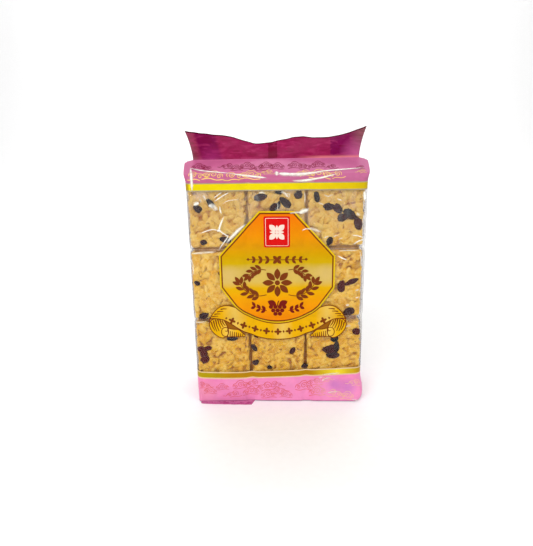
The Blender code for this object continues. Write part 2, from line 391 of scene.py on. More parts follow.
# Scales of the ink's mottle and bump, and the clear film's hazy veil, whiter towards the top as a painted
# reflection, and its tinted edges
MOTTLE_SCALE = 160.0
INK_BUMP_SCALE = 70.0
VEIL_COLOUR = (0.9, 0.9, 0.88, 1.0)
VEIL_SCALE = 55.0
REFLECTION_HEIGHTS = (0.150, 0.200)
REFLECTION_SHARES = (0.35, 2.8)
EDGE_TINT = (0.48, 0.45, 0.45, 1.0)
EDGE_REACH = (0.15, 0.85)
EDGE_POWER = 4.0


def shader_mix(tree, factor, first, second):
    """A shader between two others."""
    node = tree.nodes.new("ShaderNodeMixShader")
    for socket, value in zip(node.inputs, (factor, first.outputs[0], second.outputs[0])):
        tree.links.new(value, socket)
    return node


def clear_film_material(name, gloss_range, roughness, bump, bump_scale, haze_and_sheen):
    """Clear film: see-through, with gloss that grows towards its edges and hazy patches, whiter towards the
    top as a painted reflection.
    """
    material, tree, shader = new_material(name)
    tree.nodes.remove(shader)
    weight = tree.nodes.new("ShaderNodeLayerWeight")
    weight.inputs["Blend"].default_value = 0.5
    edge = two_inputs(tree, "ShaderNodeMath", "POWER", weight.outputs["Facing"], EDGE_POWER).outputs[0]
    clear = tree.nodes.new("ShaderNodeBsdfTransparent")
    set_inputs(clear, {"Color": mixed(tree, ranged(tree, edge, *EDGE_REACH), WHITE, EDGE_TINT)})
    gloss = tree.nodes.new("ShaderNodeBsdfAnisotropic")
    set_inputs(gloss, {"Roughness": roughness})
    add_bump(tree, gloss, cloud_value(tree, bump_scale, 5.0, 1.2), bump)
    shiny = shader_mix(tree, ranged(tree, edge, 0.0, 1.0, *gloss_range), clear, gloss)
    veil = tree.nodes.new("ShaderNodeBsdfDiffuse")
    set_inputs(veil, {"Color": VEIL_COLOUR})
    patches = ranged(tree, cloud_value(tree, VEIL_SCALE, 4.0, 1.0), 0.5, 0.75, haze_and_sheen * 0.3, haze_and_sheen * 2)
    # Whiter towards the top: a painted reflection of the film over the upper rows
    high = ranged(tree, place_of(tree, "Z"), *REFLECTION_HEIGHTS, *REFLECTION_SHARES)
    hazy = shader_mix(tree, product(tree, patches, high), shiny, veil)
    tree.links.new(hazy.outputs[0], tree.nodes["Material Output"].inputs["Surface"])
    return material


# The film's inks: the top seal's, and those of the bands and stripes
PINK_BAND = (0.2205, 0.2145)
FIN_RED = srgb(152, 34, 80)
# Lighter and darker streaks on the seal: painted light and shade of its crimps
FIN_STREAK_LIGHT = srgb(188, 64, 112)
FIN_STREAK_SHADE = srgb(116, 8, 48)
# Greyer ears: a painted reflection
FIN_EAR_REFLECTION = srgb(138, 88, 94)
FIN_BANDS = (
    (-0.0680, -0.0470, 0.0030, srgb(122, 20, 71)), (-0.0072, 0.0014, 0.0006, srgb(121, 3, 56)),
    (0.0485, 0.0800, 0.0006, srgb(125, 23, 78)),
)
FIN_STREAKS = (75.0, 60.0, 300.0)
# Lighter pink near the seal's foot: painted glows of light
FIN_PAINTED_GLOWS = (
    ((-0.058, MIDDLE_Y, ROOF_TOP), 0.014, 1.0, 0.60, srgb(180, 56, 124)),
    ((0.072, MIDDLE_Y, ROOF_TOP + 0.003), 0.016, 1.0, 0.75, srgb(206, 98, 156)),
)
# A painted highlight along the fold at the seal's foot, towards the right
FOOT_LINE = (0.0026, 0.0004)
FOOT_SIDE = (0.018, 0.040)
FOOT_HIGHLIGHT = srgb(232, 132, 134)
EAR_PLACES = (0.065, 0.077)
GUSSET_SIDE = (-0.030, -0.045)
# A dark line at the film's foot: a painted shadow under the bottom fold
FOOT_SHADOW_HEIGHTS = (0.0006, 0.0015)
FOOT_SHADOW_COLOUR = srgb(104, 62, 96)
LOW_PINKS = (srgb(243, 138, 188), srgb(246, 150, 198))
TOP_PINKS = (srgb(202, 102, 147), srgb(200, 108, 152))
# Duller pink where the skin turns down to the upright band: painted shade
BAND_PINK_SHADE = srgb(168, 98, 126)
# The lower stripe's gold, darker than the upper one as painted shade, with a painted glint
LOW_GOLDS_SHADED = (srgb(187, 137, 4), srgb(184, 158, 9))
GOLD_GLINT = srgb(250, 226, 56)
# The upper stripe's gold, darker round its left corner as painted shade
GOLD_STOPS = (
    (-0.079, srgb(176, 146, 6)), (-0.0765, srgb(196, 164, 8)), (-0.0755, srgb(236, 214, 14)),
    (0.0, srgb(238, 216, 8)), (0.060, srgb(224, 194, 4)), (0.079, srgb(206, 176, 6)),
)
GUSSET_SLANT = (0.022, 0.0060)
# Two violet spots at the right are a painted reflection; the one at the left is a salmon patch
LOW_SPOTS = (
    ((0.054, FRONT_Y, 0.0170), 0.010, 0.8, 0.7, srgb(202, 124, 196)),
    ((0.066, FRONT_Y, 0.0145), 0.011, 0.8, 0.7, srgb(202, 124, 196)),
    ((-0.072, FRONT_Y, 0.0120), 0.016, 1.0, 0.5, srgb(240, 152, 166)),
)


def streaks(tree, sizes):
    """Cloudy noise drawn out along the axes."""
    return cloud_value(tree, 1.0, 4.0, 1.2, sizes)


def with_spots(tree, base, spots):
    """A colour with soft spots of others: (place, radius, part of it that fades, share, colour) each."""
    for place, radius, fade, share, colour in spots:
        away = two_inputs(tree, "ShaderNodeVectorMath", "DISTANCE", place_of(tree), place)
        near = ranged(tree, away.outputs["Value"], radius, radius * (1 - fade), 0.0, share)
        base = mixed(tree, near, base, colour)
    return base


def band_share(tree, across, low, high, soft):
    """1 between two places along an axis, fading to 0 within its edges."""
    rise = ranged(tree, across, low, low + soft)
    return product(tree, rise, ranged(tree, across, high - soft, high, 1.0, 0.0))


def fin_colour(tree):
    """The top seal's magenta: darker gussets and seam, greyer ears as a painted reflection, streaks of
    painted light and shade, painted glows and a painted highlight at the foot.
    """
    level = ranged(tree, place_of(tree, "Z"), ROOF_TOP, ROOF_TOP + GUSSET_SLANT[0], 0.0, GUSSET_SLANT[1])
    slant = product(tree, level, ranged(tree, place_of(tree, "X"), *GUSSET_SIDE))
    across = two_inputs(tree, "ShaderNodeMath", "ADD", place_of(tree, "X"), slant).outputs[0]
    base = FIN_RED
    for low, high, soft, colour in FIN_BANDS:
        base = mixed(tree, band_share(tree, across, low, high, soft), base, colour)
    # Greyer ears: a painted reflection
    for way in (-1, 1):
        base = mixed(tree, ranged(tree, across, *(way * x for x in EAR_PLACES)), base, FIN_EAR_REFLECTION)
    # Lighter and darker streaks: painted light and shade of the crimps
    streak = streaks(tree, FIN_STREAKS)
    base = mixed(tree, ranged(tree, streak, 0.52, 0.70, 0.0, 0.45), base, FIN_STREAK_LIGHT)
    base = mixed(tree, ranged(tree, streak, 0.48, 0.32, 0.0, 0.50), base, FIN_STREAK_SHADE)
    # Painted glows of light near the foot
    base = with_spots(tree, base, FIN_PAINTED_GLOWS)
    # A painted highlight along the fold at the foot, towards the right
    foot = ranged(tree, place_of(tree, "Z"), *(ROOF_TOP + rise for rise in FOOT_LINE), 0.0, 0.8)
    side = ranged(tree, place_of(tree, "X"), *FOOT_SIDE)
    return mixed(tree, product(tree, foot, side), base, FOOT_HIGHLIGHT)


def low_pink(tree):
    """The lower band's pink, with a painted violet reflection at the right, paler patches and a dark foot
    line of painted shadow.
    """
    patches = ranged(tree, cloud_value(tree, 34.0, 3.0, 0.5), 0.40, 0.66)
    base = with_spots(tree, mixed(tree, patches, *LOW_PINKS), LOW_SPOTS)
    # A dark foot line: a painted shadow under the bottom fold
    return mixed(tree, ranged(tree, place_of(tree, "Z"), *FOOT_SHADOW_HEIGHTS, 0.8, 0.0), base, FOOT_SHADOW_COLOUR)


def top_pink(tree):
    """The roof's pink, a little duller with painted shade where the skin turns down to the upright band."""
    base = mixed(tree, ranged(tree, place_of(tree, "X"), -0.02, 0.079), *TOP_PINKS)
    return mixed(tree, ranged(tree, place_of(tree, "Z"), *PINK_BAND, 0.0, 0.35), base, BAND_PINK_SHADE)


def low_gold(tree):
    """The lower stripe's gold, darker as painted shade and olive at the left, with a painted glint towards
    the right.
    """
    across = place_of(tree, "X")
    base = mixed(tree, ranged(tree, across, -0.045, -0.065), *LOW_GOLDS_SHADED)
    return mixed(tree, band_share(tree, across, 0.031, 0.079, 0.024), base, GOLD_GLINT)


def top_gold(tree):
    """The upper stripe's bright gold, olive and darker as painted shade round its left corner."""
    return axis_ramp(tree, "X", GOLD_STOPS)


def film_materials():
    """One material for each zone of the film, by its name."""
    fin_finish = {"roughness": 0.35, "shine": 0.07}
    return {
        "pink_low": ink_material("pink_low", low_pink, mottle=0.04),
        "cream_line": ink_material("cream_line", srgb(232, 200, 150)),
        "gold_low": ink_material("gold_low", low_gold, metallic=0.25),
        "clear": clear_film_material("clear_film", (0.012, 0.55), 0.07, 0.0006, 60.0, 0.028),
        "silver_line": ink_material("silver_line", srgb(186, 168, 140), metallic=0.5),
        "gold_top": ink_material("gold_top", top_gold, metallic=0.1),
        "pink_top": ink_material("pink_top", top_pink),
        "fin": ink_material("fin", fin_colour, mottle=0.06, bump=0.0006, **fin_finish),
        # A dark band along the seal's cut edge: painted shade
        "fin_edge_shade": ink_material("fin_edge_shade", srgb(84, 8, 40), roughness=0.35, shine=0.03),
    }


# Pieces

FLOOR_COLOUR = (0.93, 0.93, 0.93, 1.0)
FLOOR_FRONT = -3.0
FLOOR_BACK = 1.6
FLOOR_BEND = 0.8
FLOOR_STEPS = 12
FLOOR_HALF_WIDTH = 4.0
BACKDROP_HEIGHT = 3.5


def link_piece(name, mesh, materials, smooth=True):
    """Links a mesh as a piece of the object that rides on its one body."""
    for material in materials:
        mesh.materials.append(material)
    if smooth:
        mesh.shade_smooth()
    piece = bpy.data.objects.new(name, mesh)
    bpy.context.scene.collection.objects.link(piece)
    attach(piece, BODY)
    return piece


def finished_mesh(mesh, name):
    """The mesh that a bmesh has built up."""
    data = bpy.data.meshes.new(name)
    mesh.to_mesh(data)
    mesh.free()
    return data


def join_rows(mesh, rows, zones, names, closed=False):
    """Faces between rows of points, each strip in its own zone's material."""
    for low, high, zone in zip(rows, rows[1:], zones):
        for i in range(len(low) if closed else len(low) - 1):
            j = (i + 1) % len(low)
            face = mesh.faces.new((low[i], low[j], high[j], high[i]))
            face.material_index = names.index(zone)
            face.smooth = True


def sheet_faces(columns, rows, turned):
    """Quads of a sheet whose points run up one column after the other."""
    faces = []
    for i in range(columns):
        for j in range(rows):
            a = i * (rows + 1) + j
            quad = (a, a + rows + 1, a + rows + 2, a + 1)
            faces.append(np.array(quad[::-1] if turned else quad))
    return faces


def make_floor():
    """A pale floor that curves up into a backdrop far behind the pack."""
    profile = [(FLOOR_FRONT, 0.0), (FLOOR_BACK, 0.0)]
    for k in range(1, FLOOR_STEPS + 1):
        a = math.pi / 2 * k / FLOOR_STEPS
        profile.append((FLOOR_BACK + FLOOR_BEND * math.sin(a), FLOOR_BEND - FLOOR_BEND * math.cos(a)))
    profile.append((FLOOR_BACK + FLOOR_BEND, BACKDROP_HEIGHT))
    verts = [(x, y, z) for y, z in profile for x in (-FLOOR_HALF_WIDTH, FLOOR_HALF_WIDTH)]
    faces = [(2 * i, 2 * i + 1, 2 * i + 3, 2 * i + 2) for i in range(len(profile) - 1)]
    mesh = bpy.data.meshes.new("floor")
    mesh.from_pydata(verts, [], faces)
    mesh.shade_smooth()
    floor = bpy.data.objects.new("floor", mesh)
    mesh.materials.append(ink_material("pale_floor", FLOOR_COLOUR, 0.6, 0.0, 0.2, 0.01, 0.0))
    bpy.context.scene.collection.objects.link(floor)


# The film's form: rings of points from the bottom up to the cut edge of the top seal


def even_places(low, high, step):
    """Places from low to high, no further apart than step."""
    count = max(1, math.ceil((high - low) / step - 1e-9))
    return [low + (high - low) * k / count for k in range(count + 1)]


def film_stations():
    """One loop round the film, anticlockwise from above: wall or corner, and place along it."""
    across = even_places(CORNER_RADIUS - PACK_WIDTH / 2, PACK_WIDTH / 2 - CORNER_RADIUS, FILM_STEP)
    deep = even_places(CORNER_RADIUS - PACK_DEPTH / 2, PACK_DEPTH / 2 - CORNER_RADIUS, FILM_STEP)
    corner = [math.pi / 2 * k / CORNER_STEPS for k in range(1, CORNER_STEPS)]
    loop = []
    walls = (("front", across), ("right", deep), ("back", across[::-1]), ("left", deep[::-1]))
    for (wall, places), turn in zip(walls, (-math.pi / 2, 0.0, math.pi / 2, math.pi)):
        loop += [(wall, place) for place in places]
        loop += [("corner", angle + turn) for angle in corner]
    return loop


def outline(station, half_width, half_depth, radius=CORNER_RADIUS):
    """Point and outward direction of a station on a rounded rectangle of that half size."""
    kind, place = station
    across = (half_width - radius) / (PACK_WIDTH / 2 - CORNER_RADIUS)
    deep = (half_depth - radius) / (PACK_DEPTH / 2 - CORNER_RADIUS)
    if kind == "front":
        return place * across, -half_depth, 0.0, -1.0
    if kind == "back":
        return place * across, half_depth, 0.0, 1.0
    if kind == "right":
        return half_width, place * deep, 1.0, 0.0
    if kind == "left":
        return -half_width, place * deep, -1.0, 0.0
    out_x, out_y = math.cos(place), math.sin(place)
    x = math.copysign(half_width - radius, out_x) + radius * out_x
    y = math.copysign(half_depth - radius, out_y) + radius * out_y
    return x, y, out_x, out_y


def corner_radius(z):
    """Radius of the upright edges, which are sharper at the foot."""
    return FOOT_RADIUS + (CORNER_RADIUS - FOOT_RADIUS) * smooth_step(z / FOOT_HEIGHT)


def furrow(distance):
    """1 on the line of a furrow, falling to 0 a little way off it."""
    return math.exp(-((distance / FURROW_REACH) ** 2))


def relief(station, z):
    """How far the film stands off the plain box at this station and height."""
    kind, place = station
    if kind in ("front", "back"):
        count, length = 3, PACK_WIDTH
    else:
        count, length = 2, PACK_DEPTH
    off_corner = 0.0 if kind == "corner" else length / 2 - CORNER_RADIUS - abs(place)
    share = CORNER_FURROW_SHARE + (1 - CORNER_FURROW_SHARE) * smooth_step(off_corner / CORNER_FADE)
    depth = 1 - smooth_step((CAKES_BOTTOM - z) / CAKES_BOTTOM) * (1 - FOOT_SHARE)
    for height in ROW_FURROWS:
        depth -= furrow(z - height) * share
    if kind == "corner":
        return FURROW_DEPTH * max(depth, 0.0)
    pitch = length / count
    for edge in range(1, count):
        depth -= furrow(place - (edge * pitch - length / 2))
    return FURROW_DEPTH * max(depth, 0.0)


def right_foot(x, z):
    """Sideways shift of the lower right corner, which bulges out over the cakes' foot."""
    if x < PACK_WIDTH / 4:
        return 0.0
    weight = smooth_step((x - PACK_WIDTH / 4) / (PACK_WIDTH / 4))
    above = max(z - BULGE_HEIGHT, 0.0)
    tuck = CORNER_TUCK * smooth_step((x - TUCK_FROM_X) / (PACK_WIDTH / 2 - TUCK_FROM_X))
    tuck *= max(1 - z / CORNER_TUCK_HEIGHT, 0.0) ** 3
    return weight * BULGE_SIZE * math.exp(-((above / BULGE_SPREAD) ** 2)) - tuck


def foot_forward(x, y, z):
    """How far the front's foot comes forward towards its right end."""
    along = min(max((x - FOOT_FROM_X) / (PACK_WIDTH / 2 - FOOT_FROM_X), 0.0), 1.0)
    front = smooth_step((MIDDLE_Y - y) / (PACK_DEPTH / 2))
    return FOOT_FORWARD * along * front * math.exp(-((z / FOOT_SPREAD) ** 2))


def rising(s, start, reach):
    """Rises from 0 to 1 over that reach, from that start."""
    return smooth_step((s - start) / reach)


def print_warp(x, s):
    """How far the print has slipped up or down: the stripes of the lower band sag and rise."""
    x = min(max(x, -PACK_WIDTH / 2), PACK_WIDTH / 2)
    low = smooth_step(s / LOW_WARP_RISE) * (1 - rising(s, *LOW_WARP_FALL))
    slip = TOP_WARP_RIGHT * (x / PACK_WIDTH + 0.5)
    top = rising(s, *TOP_WARP_RISE)
    return smooth_curve(LOW_WARP, x) * low + slip * top * (1 - rising(s, *TOP_WARP_FALL))


def roof_half_width(climb):
    """The roof flares a little up to its folded corners, then closes in to the fin."""
    widest = PACK_WIDTH / 2 + ROOF_FLARE
    if climb > ROOF_CLOSES:
        closing = (climb - ROOF_CLOSES) / (1 - ROOF_CLOSES)
        return widest + (FIN_BASE_HALF_WIDTH - widest) * closing
    return PACK_WIDTH / 2 + ROOF_FLARE * smooth_step(climb / ROOF_CLOSES)


def wall_point(station, s):
    """A point of the upright walls and the direction out of the pack there."""
    half_width = PACK_WIDTH / 2 - FURROW_DEPTH
    half_depth = PACK_DEPTH / 2 - FURROW_DEPTH
    inset = 0.0
    if s < BOTTOM_EDGE:
        inset = BOTTOM_EDGE - math.sqrt(BOTTOM_EDGE ** 2 - (BOTTOM_EDGE - s) ** 2)
    x, y, out_x, out_y = outline(station, half_width, half_depth, corner_radius(s))
    z = s + print_warp(x, s)
    rise = relief(station, z) - inset
    x += out_x * rise + right_foot(x, z)
    y += out_y * rise
    return Vector((x, y - foot_forward(x, y, z), z)), Vector((out_x, out_y, 0.0))


def roof_point(station, s):
    """A point of the shoulder or roof, s being the way up the skin, and the direction out there."""
    if s < SHOULDER_END:
        angle = (s - SHOULDER_START) / SHOULDER_RADIUS
        inset = SHOULDER_RADIUS * (1 - math.cos(angle))
        z = SHOULDER_START + SHOULDER_RADIUS * math.sin(angle)
    else:
        angle = SHOULDER_TURN
        up = (s - SHOULDER_END) / (ROOF_END - SHOULDER_END)
        inset = PACK_DEPTH / 2 - FIN_THICKNESS - ROOF_RUN * (1 - up)
        z = ROOF_TOP - ROOF_RUN * math.tan(ROOF_SLOPE) * (1 - up)
    climb = (z - SHOULDER_START) / (ROOF_TOP - SHOULDER_START)
    half_width = roof_half_width(climb)
    radius = CORNER_RADIUS * (1 - smooth_step(climb * 2)) + FIN_THICKNESS / 2
    x, y, out_x, out_y = outline(station, half_width, PACK_DEPTH / 2 - inset, radius)
    if station[0] in ("left", "right"):
        tuck = TUCK_DEPTH * smooth_step((z - TUCK_START) / TUCK_RUN)
        tuck *= smooth_step((1 - climb) / TUCK_CLOSES)
        x -= out_x * tuck * (1 - abs(station[1]) / (PACK_DEPTH / 2 - CORNER_RADIUS))
    lift = (relief(station, z) - FURROW_DEPTH) * (1 - smooth_step(climb * 2))
    across = min(abs(x) / half_width, 1.0)
    sag = SHOULDER_SAG * (1 - across ** 2) * math.sin(math.pi * climb)
    normal = Vector((out_x * math.cos(angle), out_y * math.cos(angle), math.sin(angle)))
    return Vector((x + out_x * lift, y + out_y * lift, z - sag)), normal


def skin_point(station, s, lift=0.0):
    """A point of the film in the pack's frame, lifted off it by that much."""
    point, normal = wall_point(station, s) if s <= SHOULDER_START else roof_point(station, s)
    if s > BOTTOM_EDGE:
        fade = 1 - rising(s, SHOULDER_END, FILM_UNEVEN_FADE)
        lift += noise.noise(point * FILM_UNEVEN_SCALE) * FILM_UNEVENNESS * fade
    point += normal * lift
    point.y += MIDDLE_Y
    return point


def fin_point(across, level, side):
    """A point of the top seal: across and side run from -1 to 1, level from its foot to its edge."""
    width = EAR_HALF_WIDTH - FIN_BASE_HALF_WIDTH
    half_width = FIN_BASE_HALF_WIDTH + width * level ** EAR_FLARE_POWER
    rag = noise.noise(Vector((across * FIN_RAGGED, 0.0, 0.0))) * FIN_RAG
    height = (smooth_curve(FIN_EDGE, across) + rag) * level
    lean = FIN_LEAN_BACK * (1 - across * across) - EAR_LEAN_FORWARD * across ** 4
    wave = FIN_WAVE * math.sin(math.pi * FIN_WAVES_ACROSS * (across + FIN_WAVE_START))
    y = lean * level ** FIN_LEAN_POWER + wave * level + side * FIN_THICKNESS / 2
    return Vector((across * half_width, y + MIDDLE_Y, ROOF_TOP + height))


def fin_ring(loop, level):
    """One ring of the top seal."""
    half = PACK_WIDTH / 2 - CORNER_RADIUS
    places = []
    for kind, place in loop:
        if kind in ("front", "back"):
            across, side = place / half, WALLS[kind][1]
        elif kind == "corner":
            across, side = math.copysign(1.0, math.cos(place)), math.copysign(1.0, math.sin(place))
        else:
            across, side = WALLS[kind][1], math.copysign(1.0, place)
        places.append(fin_point(across, level, side))
    return places


def film_heights():
    """(s, zone) of every ring below the fin: the zone is that of the strip above the ring."""
    heights = [(s, "pink_low") for s in FOOT_RINGS]
    low = BOTTOM_EDGE
    for top, zone in (*ZONES, (SHOULDER_START, "pink_top")):
        heights += [(s, zone) for s in even_places(low, top, FILM_STEP)[:-1]]
        low = top
    turn = SHOULDER_END - SHOULDER_START
    heights += [(SHOULDER_START + turn * k / SHOULDER_STEPS, "pink_top") for k in range(SHOULDER_STEPS)]
    slope = ROOF_END - SHOULDER_END
    heights += [(SHOULDER_END + slope * k / ROOF_STEPS, "pink_top") for k in range(ROOF_STEPS + 1)]
    return heights


def make_film(materials):
    """The whole outer film in one skin, with a material for each zone of its print."""
    loop = film_stations()
    names = list(materials)
    heights = film_heights()
    zones = [zone for s, zone in heights]
    zones[-1] = "fin"
    rings = [[skin_point(station, s) for station in loop] for s, zone in heights]
    for level in (*(k / FIN_STEPS for k in range(1, FIN_STEPS)), 1 - FIN_LINE, 1.0):
        rings.append(fin_ring(loop, level))
        zones.append("fin")
    # The band along the seal's cut edge gets the painted edge shade
    zones[-2] = "fin_edge_shade"
    mesh = bmesh.new()
    rows = [[mesh.verts.new(point) for point in points] for points in rings]
    join_rows(mesh, rows, zones, names, closed=True)
    base = mesh.faces.new(rows[0][::-1])
    base.material_index = names.index("pink_low")
    front, back = ([rows[-1][i] for i, (kind, place) in enumerate(loop) if kind == wall]
                   for wall in ("front", "back"))
    back.reverse()
    for k in range(len(front) - 1):
        face = mesh.faces.new((front[k], front[k + 1], back[k + 1], back[k]))
        face.material_index = names.index("fin")
    bmesh.ops.remove_doubles(mesh, verts=mesh.verts, dist=1e-6)
    film = link_piece("film", finished_mesh(mesh, "film"), materials.values(), smooth=False)
    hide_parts(NODE)


# The cakes: pressed blocks of short fried strands

STRAND_SIDES = 8
STRAND_RINGS = 5
STRAND_COVER = 0.55
STRAND_LENGTHS = (0.008, 0.017)
STRAND_RADII = (0.0019, 0.0028)
STRAND_DEPTHS = (0.0020, 0.0034)
PRESS_DEPTH = 0.0012
STRAND_WAYS = ((1.0, 0.1, 0.15), (0.1, 0.15, 1.0), (1.0, -0.3, 0.9), (0.8, 0.3, -1.0))
STRAND_ACROSS = 4.5
STRAND_ALONG = 9.5
STRAND_SPREAD = 0.74
STRAND_SINK = 0.55
WARP_SIZE = 9.0
WARP_REACH = 2.2
LEVEL_CELLS = 9.7
TONE_CELLS = 23.1
DOUGH_SEED = 7
BLOCK_STEP = 0.00085
BLOCK_BACK_STEP = 0.0012
PRESSED = 0.0004
DOUGH_RELIEF = 0.0038
PRESS_SHARE = 0.35
MIDDLE_INSET = (0.0032, 0.0036, 0.0032)
EDGE_BAND = 0.0100
CAKE_SEED = 100
CAKE_VALUES = ("tone", "depth")
MIDDLE_STEP = 0.010
STRAND_ENDS = 0.94
STRAND_END_TURN = 1.25
STRAND_LIE = 0.78
STRAND_BEND = 0.22
STRAND_TONE = (0.45, 0.26)
STRAND_TAPER = 3.2
LONG_SWELL = 0.14
ROUND_SWELL = 0.10
KNOT_SWELL = 0.07

# Colours of the dough, with painted shade in its crevices and pits and a greyer painted film reflection on
# the upper rows, and of the shaded core between the cakes
DOUGH_LIGHT = srgb(244, 208, 118)
DOUGH_GOLDEN = srgb(232, 180, 62)
DOUGH_DEEP = srgb(216, 148, 10)
DOUGH_LOW = srgb(234, 178, 18)
DOUGH_REFLECTION_GREY = srgb(203, 162, 84)
DOUGH_SHADE = srgb(206, 138, 14)
DOUGH_CREVICE_SHADE = srgb(156, 92, 8)
DOUGH_PIT_SHADE = srgb(132, 70, 8)
CORE_STOPS = (
    (0.020, srgb(150, 92, 22)), (0.080, srgb(156, 102, 40)), (0.150, srgb(172, 128, 76)),
    (0.215, srgb(176, 136, 92)),
)

# How far each kind of content stays under the film
UNDER_FILM = {"cake": 0.0007, "strand": 0.0006, "raisin": 0.0006, "wrapper": 0.0003, "seal": 0.0002}
UNDER_FROM = 0.005
UNDER_STEP = 0.0013
SETTLED = 0.0020
SETTLE_FROM_X = 0.0580
SETTLE_HEIGHTS = (0.0480, 0.0830)


def film_depths():
    """How far out the film's front, back and sides are, in grids over the walls."""
    grids = {}
    for wall, (axis, side) in WALLS.items():
        half = (PACK_DEPTH, PACK_WIDTH)[axis] / 2 - CORNER_RADIUS
        along = np.array(even_places(-half, half, UNDER_STEP))
        heights = np.array(even_places(UNDER_FROM, SHOULDER_START, UNDER_STEP))
        depths = np.zeros((len(along), len(heights)))
        for i, place in enumerate(along):
            x = place if axis == 1 else side * PACK_WIDTH / 2
            for j, z in enumerate(heights):
                depths[i, j] = skin_point((wall, place), z - print_warp(x, z))[axis]
        grids[wall] = (along, heights, depths)
    return grids


def grid_value(grid, along, heights):
    """Values between the places of a grid, and where they lie inside it."""
    places, levels, depths = grid
    u = (along - places[0]) / (places[1] - places[0])
    v = (heights - levels[0]) / (levels[1] - levels[0])
    inside = (u >= 0) & (u <= len(places) - 1)
    u = np.clip(u, 0, len(places) - 1.001)
    v = np.clip(v, 0, len(levels) - 1.001)
    i, j = u.astype(int), v.astype(int)
    a, b = u - i, v - j
    value = (depths[i, j] * (1 - a) + depths[i + 1, j] * a) * (1 - b)
    return value + (depths[i, j + 1] * (1 - a) + depths[i + 1, j + 1] * a) * b, inside


def soft_rise(t):
    """Smooth steps from 0 to 1 of all values of an array."""
    t = np.clip(t, 0.0, 1.0)
    return t * t * (3 - 2 * t)


def tuck_under(points, gap):
    """Settles contents out at the right foot, and presses them in where they would near the film."""
    low, high = SETTLE_HEIGHTS
    out = soft_rise((points[:, 0] - SETTLE_FROM_X) / (CAKE_COLUMN_EDGES[-1] - SETTLE_FROM_X))
    points[:, 0] += SETTLED * out * soft_rise((high - points[:, 2]) / (high - low))
    middle = np.array((0.0, MIDDLE_Y))
    for wall, (axis, side) in WALLS.items():
        along = points[:, 1 - axis] - middle[1 - axis]
        limit, inside = grid_value(FILM_DEPTHS[wall], along, points[:, 2])
        over = inside & (side * (points[:, axis] - limit) > -gap)
        points[over, axis] = limit[over] - side * gap
    corner = np.array((PACK_WIDTH / 2, PACK_DEPTH / 2)) - FURROW_DEPTH - CORNER_RADIUS
    sign = np.where(points[:, :2] < middle, -1.0, 1.0)
    past = np.maximum((points[:, :2] - middle) * sign - corner, 0.0)
    reach = np.linalg.norm(past, axis=1)
    limit = CORNER_RADIUS + FURROW_DEPTH - gap * 0.6
    over = (past.min(axis=1) > 0) & (reach > limit)
    shrunk = past[over] * (limit / reach[over])[:, None]
    points[over, :2] = (shrunk + corner) * sign[over] + middle
    return points


def cakes():
    """(middle, half size, row, layer) of each of the eighteen cakes, in the pack's frame."""
    blocks = []
    depth = (CAKE_FACE - LAYER_GAP / 2) / 2
    for row, (low, high) in enumerate(CAKE_ROWS):
        for left, right in zip(CAKE_COLUMN_EDGES, CAKE_COLUMN_EDGES[1:]):
            for side in (-1, 1):
                y = MIDDLE_Y + side * (LAYER_GAP / 2 + depth)
                middle = np.array(((left + right) / 2, y, (low + high) / 2))
                half = np.array(((right - left - CAKE_GAP) / 2, depth, (high - low) / 2))
                blocks.append((middle, half, row, side))
    return blocks


def press_into(points, half, radius=CAKE_RADIUS, press=PRESS_DEPTH):
    """Presses points softly into a rounded box, and gives how deep below its face each one was."""
    core = half - radius
    over = np.abs(points) - core
    out = np.maximum(over, 0.0)
    length = np.linalg.norm(out, axis=-1)
    depth = radius - length
    near = (length > 1e-9) & (depth < press)
    pressed = np.where(near, press * np.exp((depth - press) / press), depth)
    scale = np.where(length > 1e-9, (radius - pressed) / np.maximum(length, 1e-9), 1.0)
    moved = np.where(over > 0, core + out * scale[..., None], np.abs(points))
    return np.sign(points) * moved, pressed


def strand_places(block, draw):
    """(middle, normal) of the strands on each face of a cake that can be seen, even by area."""
    middle, half, row, side = block
    places = []
    strand_area = sum(STRAND_LENGTHS) / 2 * sum(STRAND_RADII)
    for axis in range(3):
        a, b = [k for k in range(3) if k != axis]
        for sign in (-1, 1):
            outer = axis == 1 and sign == side
            outer |= axis == 0 and sign * middle[0] > PACK_WIDTH / 4
            if axis == 1 and not outer:
                continue
            across = a if a != 1 else b
            area = 4 * half[a] * half[b] if outer else 2 * half[across] * EDGE_BAND
            for k in range(round(area / strand_area * STRAND_COVER)):
                point, normal = np.zeros(3), np.zeros(3)
                point[a] = draw.uniform(-half[a], half[a])
                point[b] = draw.uniform(-half[b], half[b])
                if not outer:
                    point[1] = side * (half[1] - draw.uniform(0.0, EDGE_BAND))
                point[axis] = sign * (half[axis] - draw.uniform(*STRAND_DEPTHS))
                normal[axis] = sign
                places.append((point, normal))
    return places


def strand_template():
    """Ring angles, ring places and faces of one strand: two poles joined by rings."""
    angles = np.arange(STRAND_SIDES) * 2 * math.pi / STRAND_SIDES
    turns = np.linspace(-STRAND_END_TURN, STRAND_END_TURN, STRAND_RINGS)
    along = np.sin(turns) / math.sin(STRAND_END_TURN) * STRAND_ENDS
    faces = []
    for k in range(STRAND_SIDES):
        n = (k + 1) % STRAND_SIDES
        faces.append((0, 1 + n, 1 + k))
        for r in range(STRAND_RINGS - 1):
            low, high = 1 + r * STRAND_SIDES, 1 + (r + 1) * STRAND_SIDES
            faces.append((low + k, low + n, high + n, high + k))
        last = 1 + (STRAND_RINGS - 1) * STRAND_SIDES
        faces.append((last + k, last + n, last + STRAND_SIDES))
    return angles, along, [np.array(face) for face in faces]


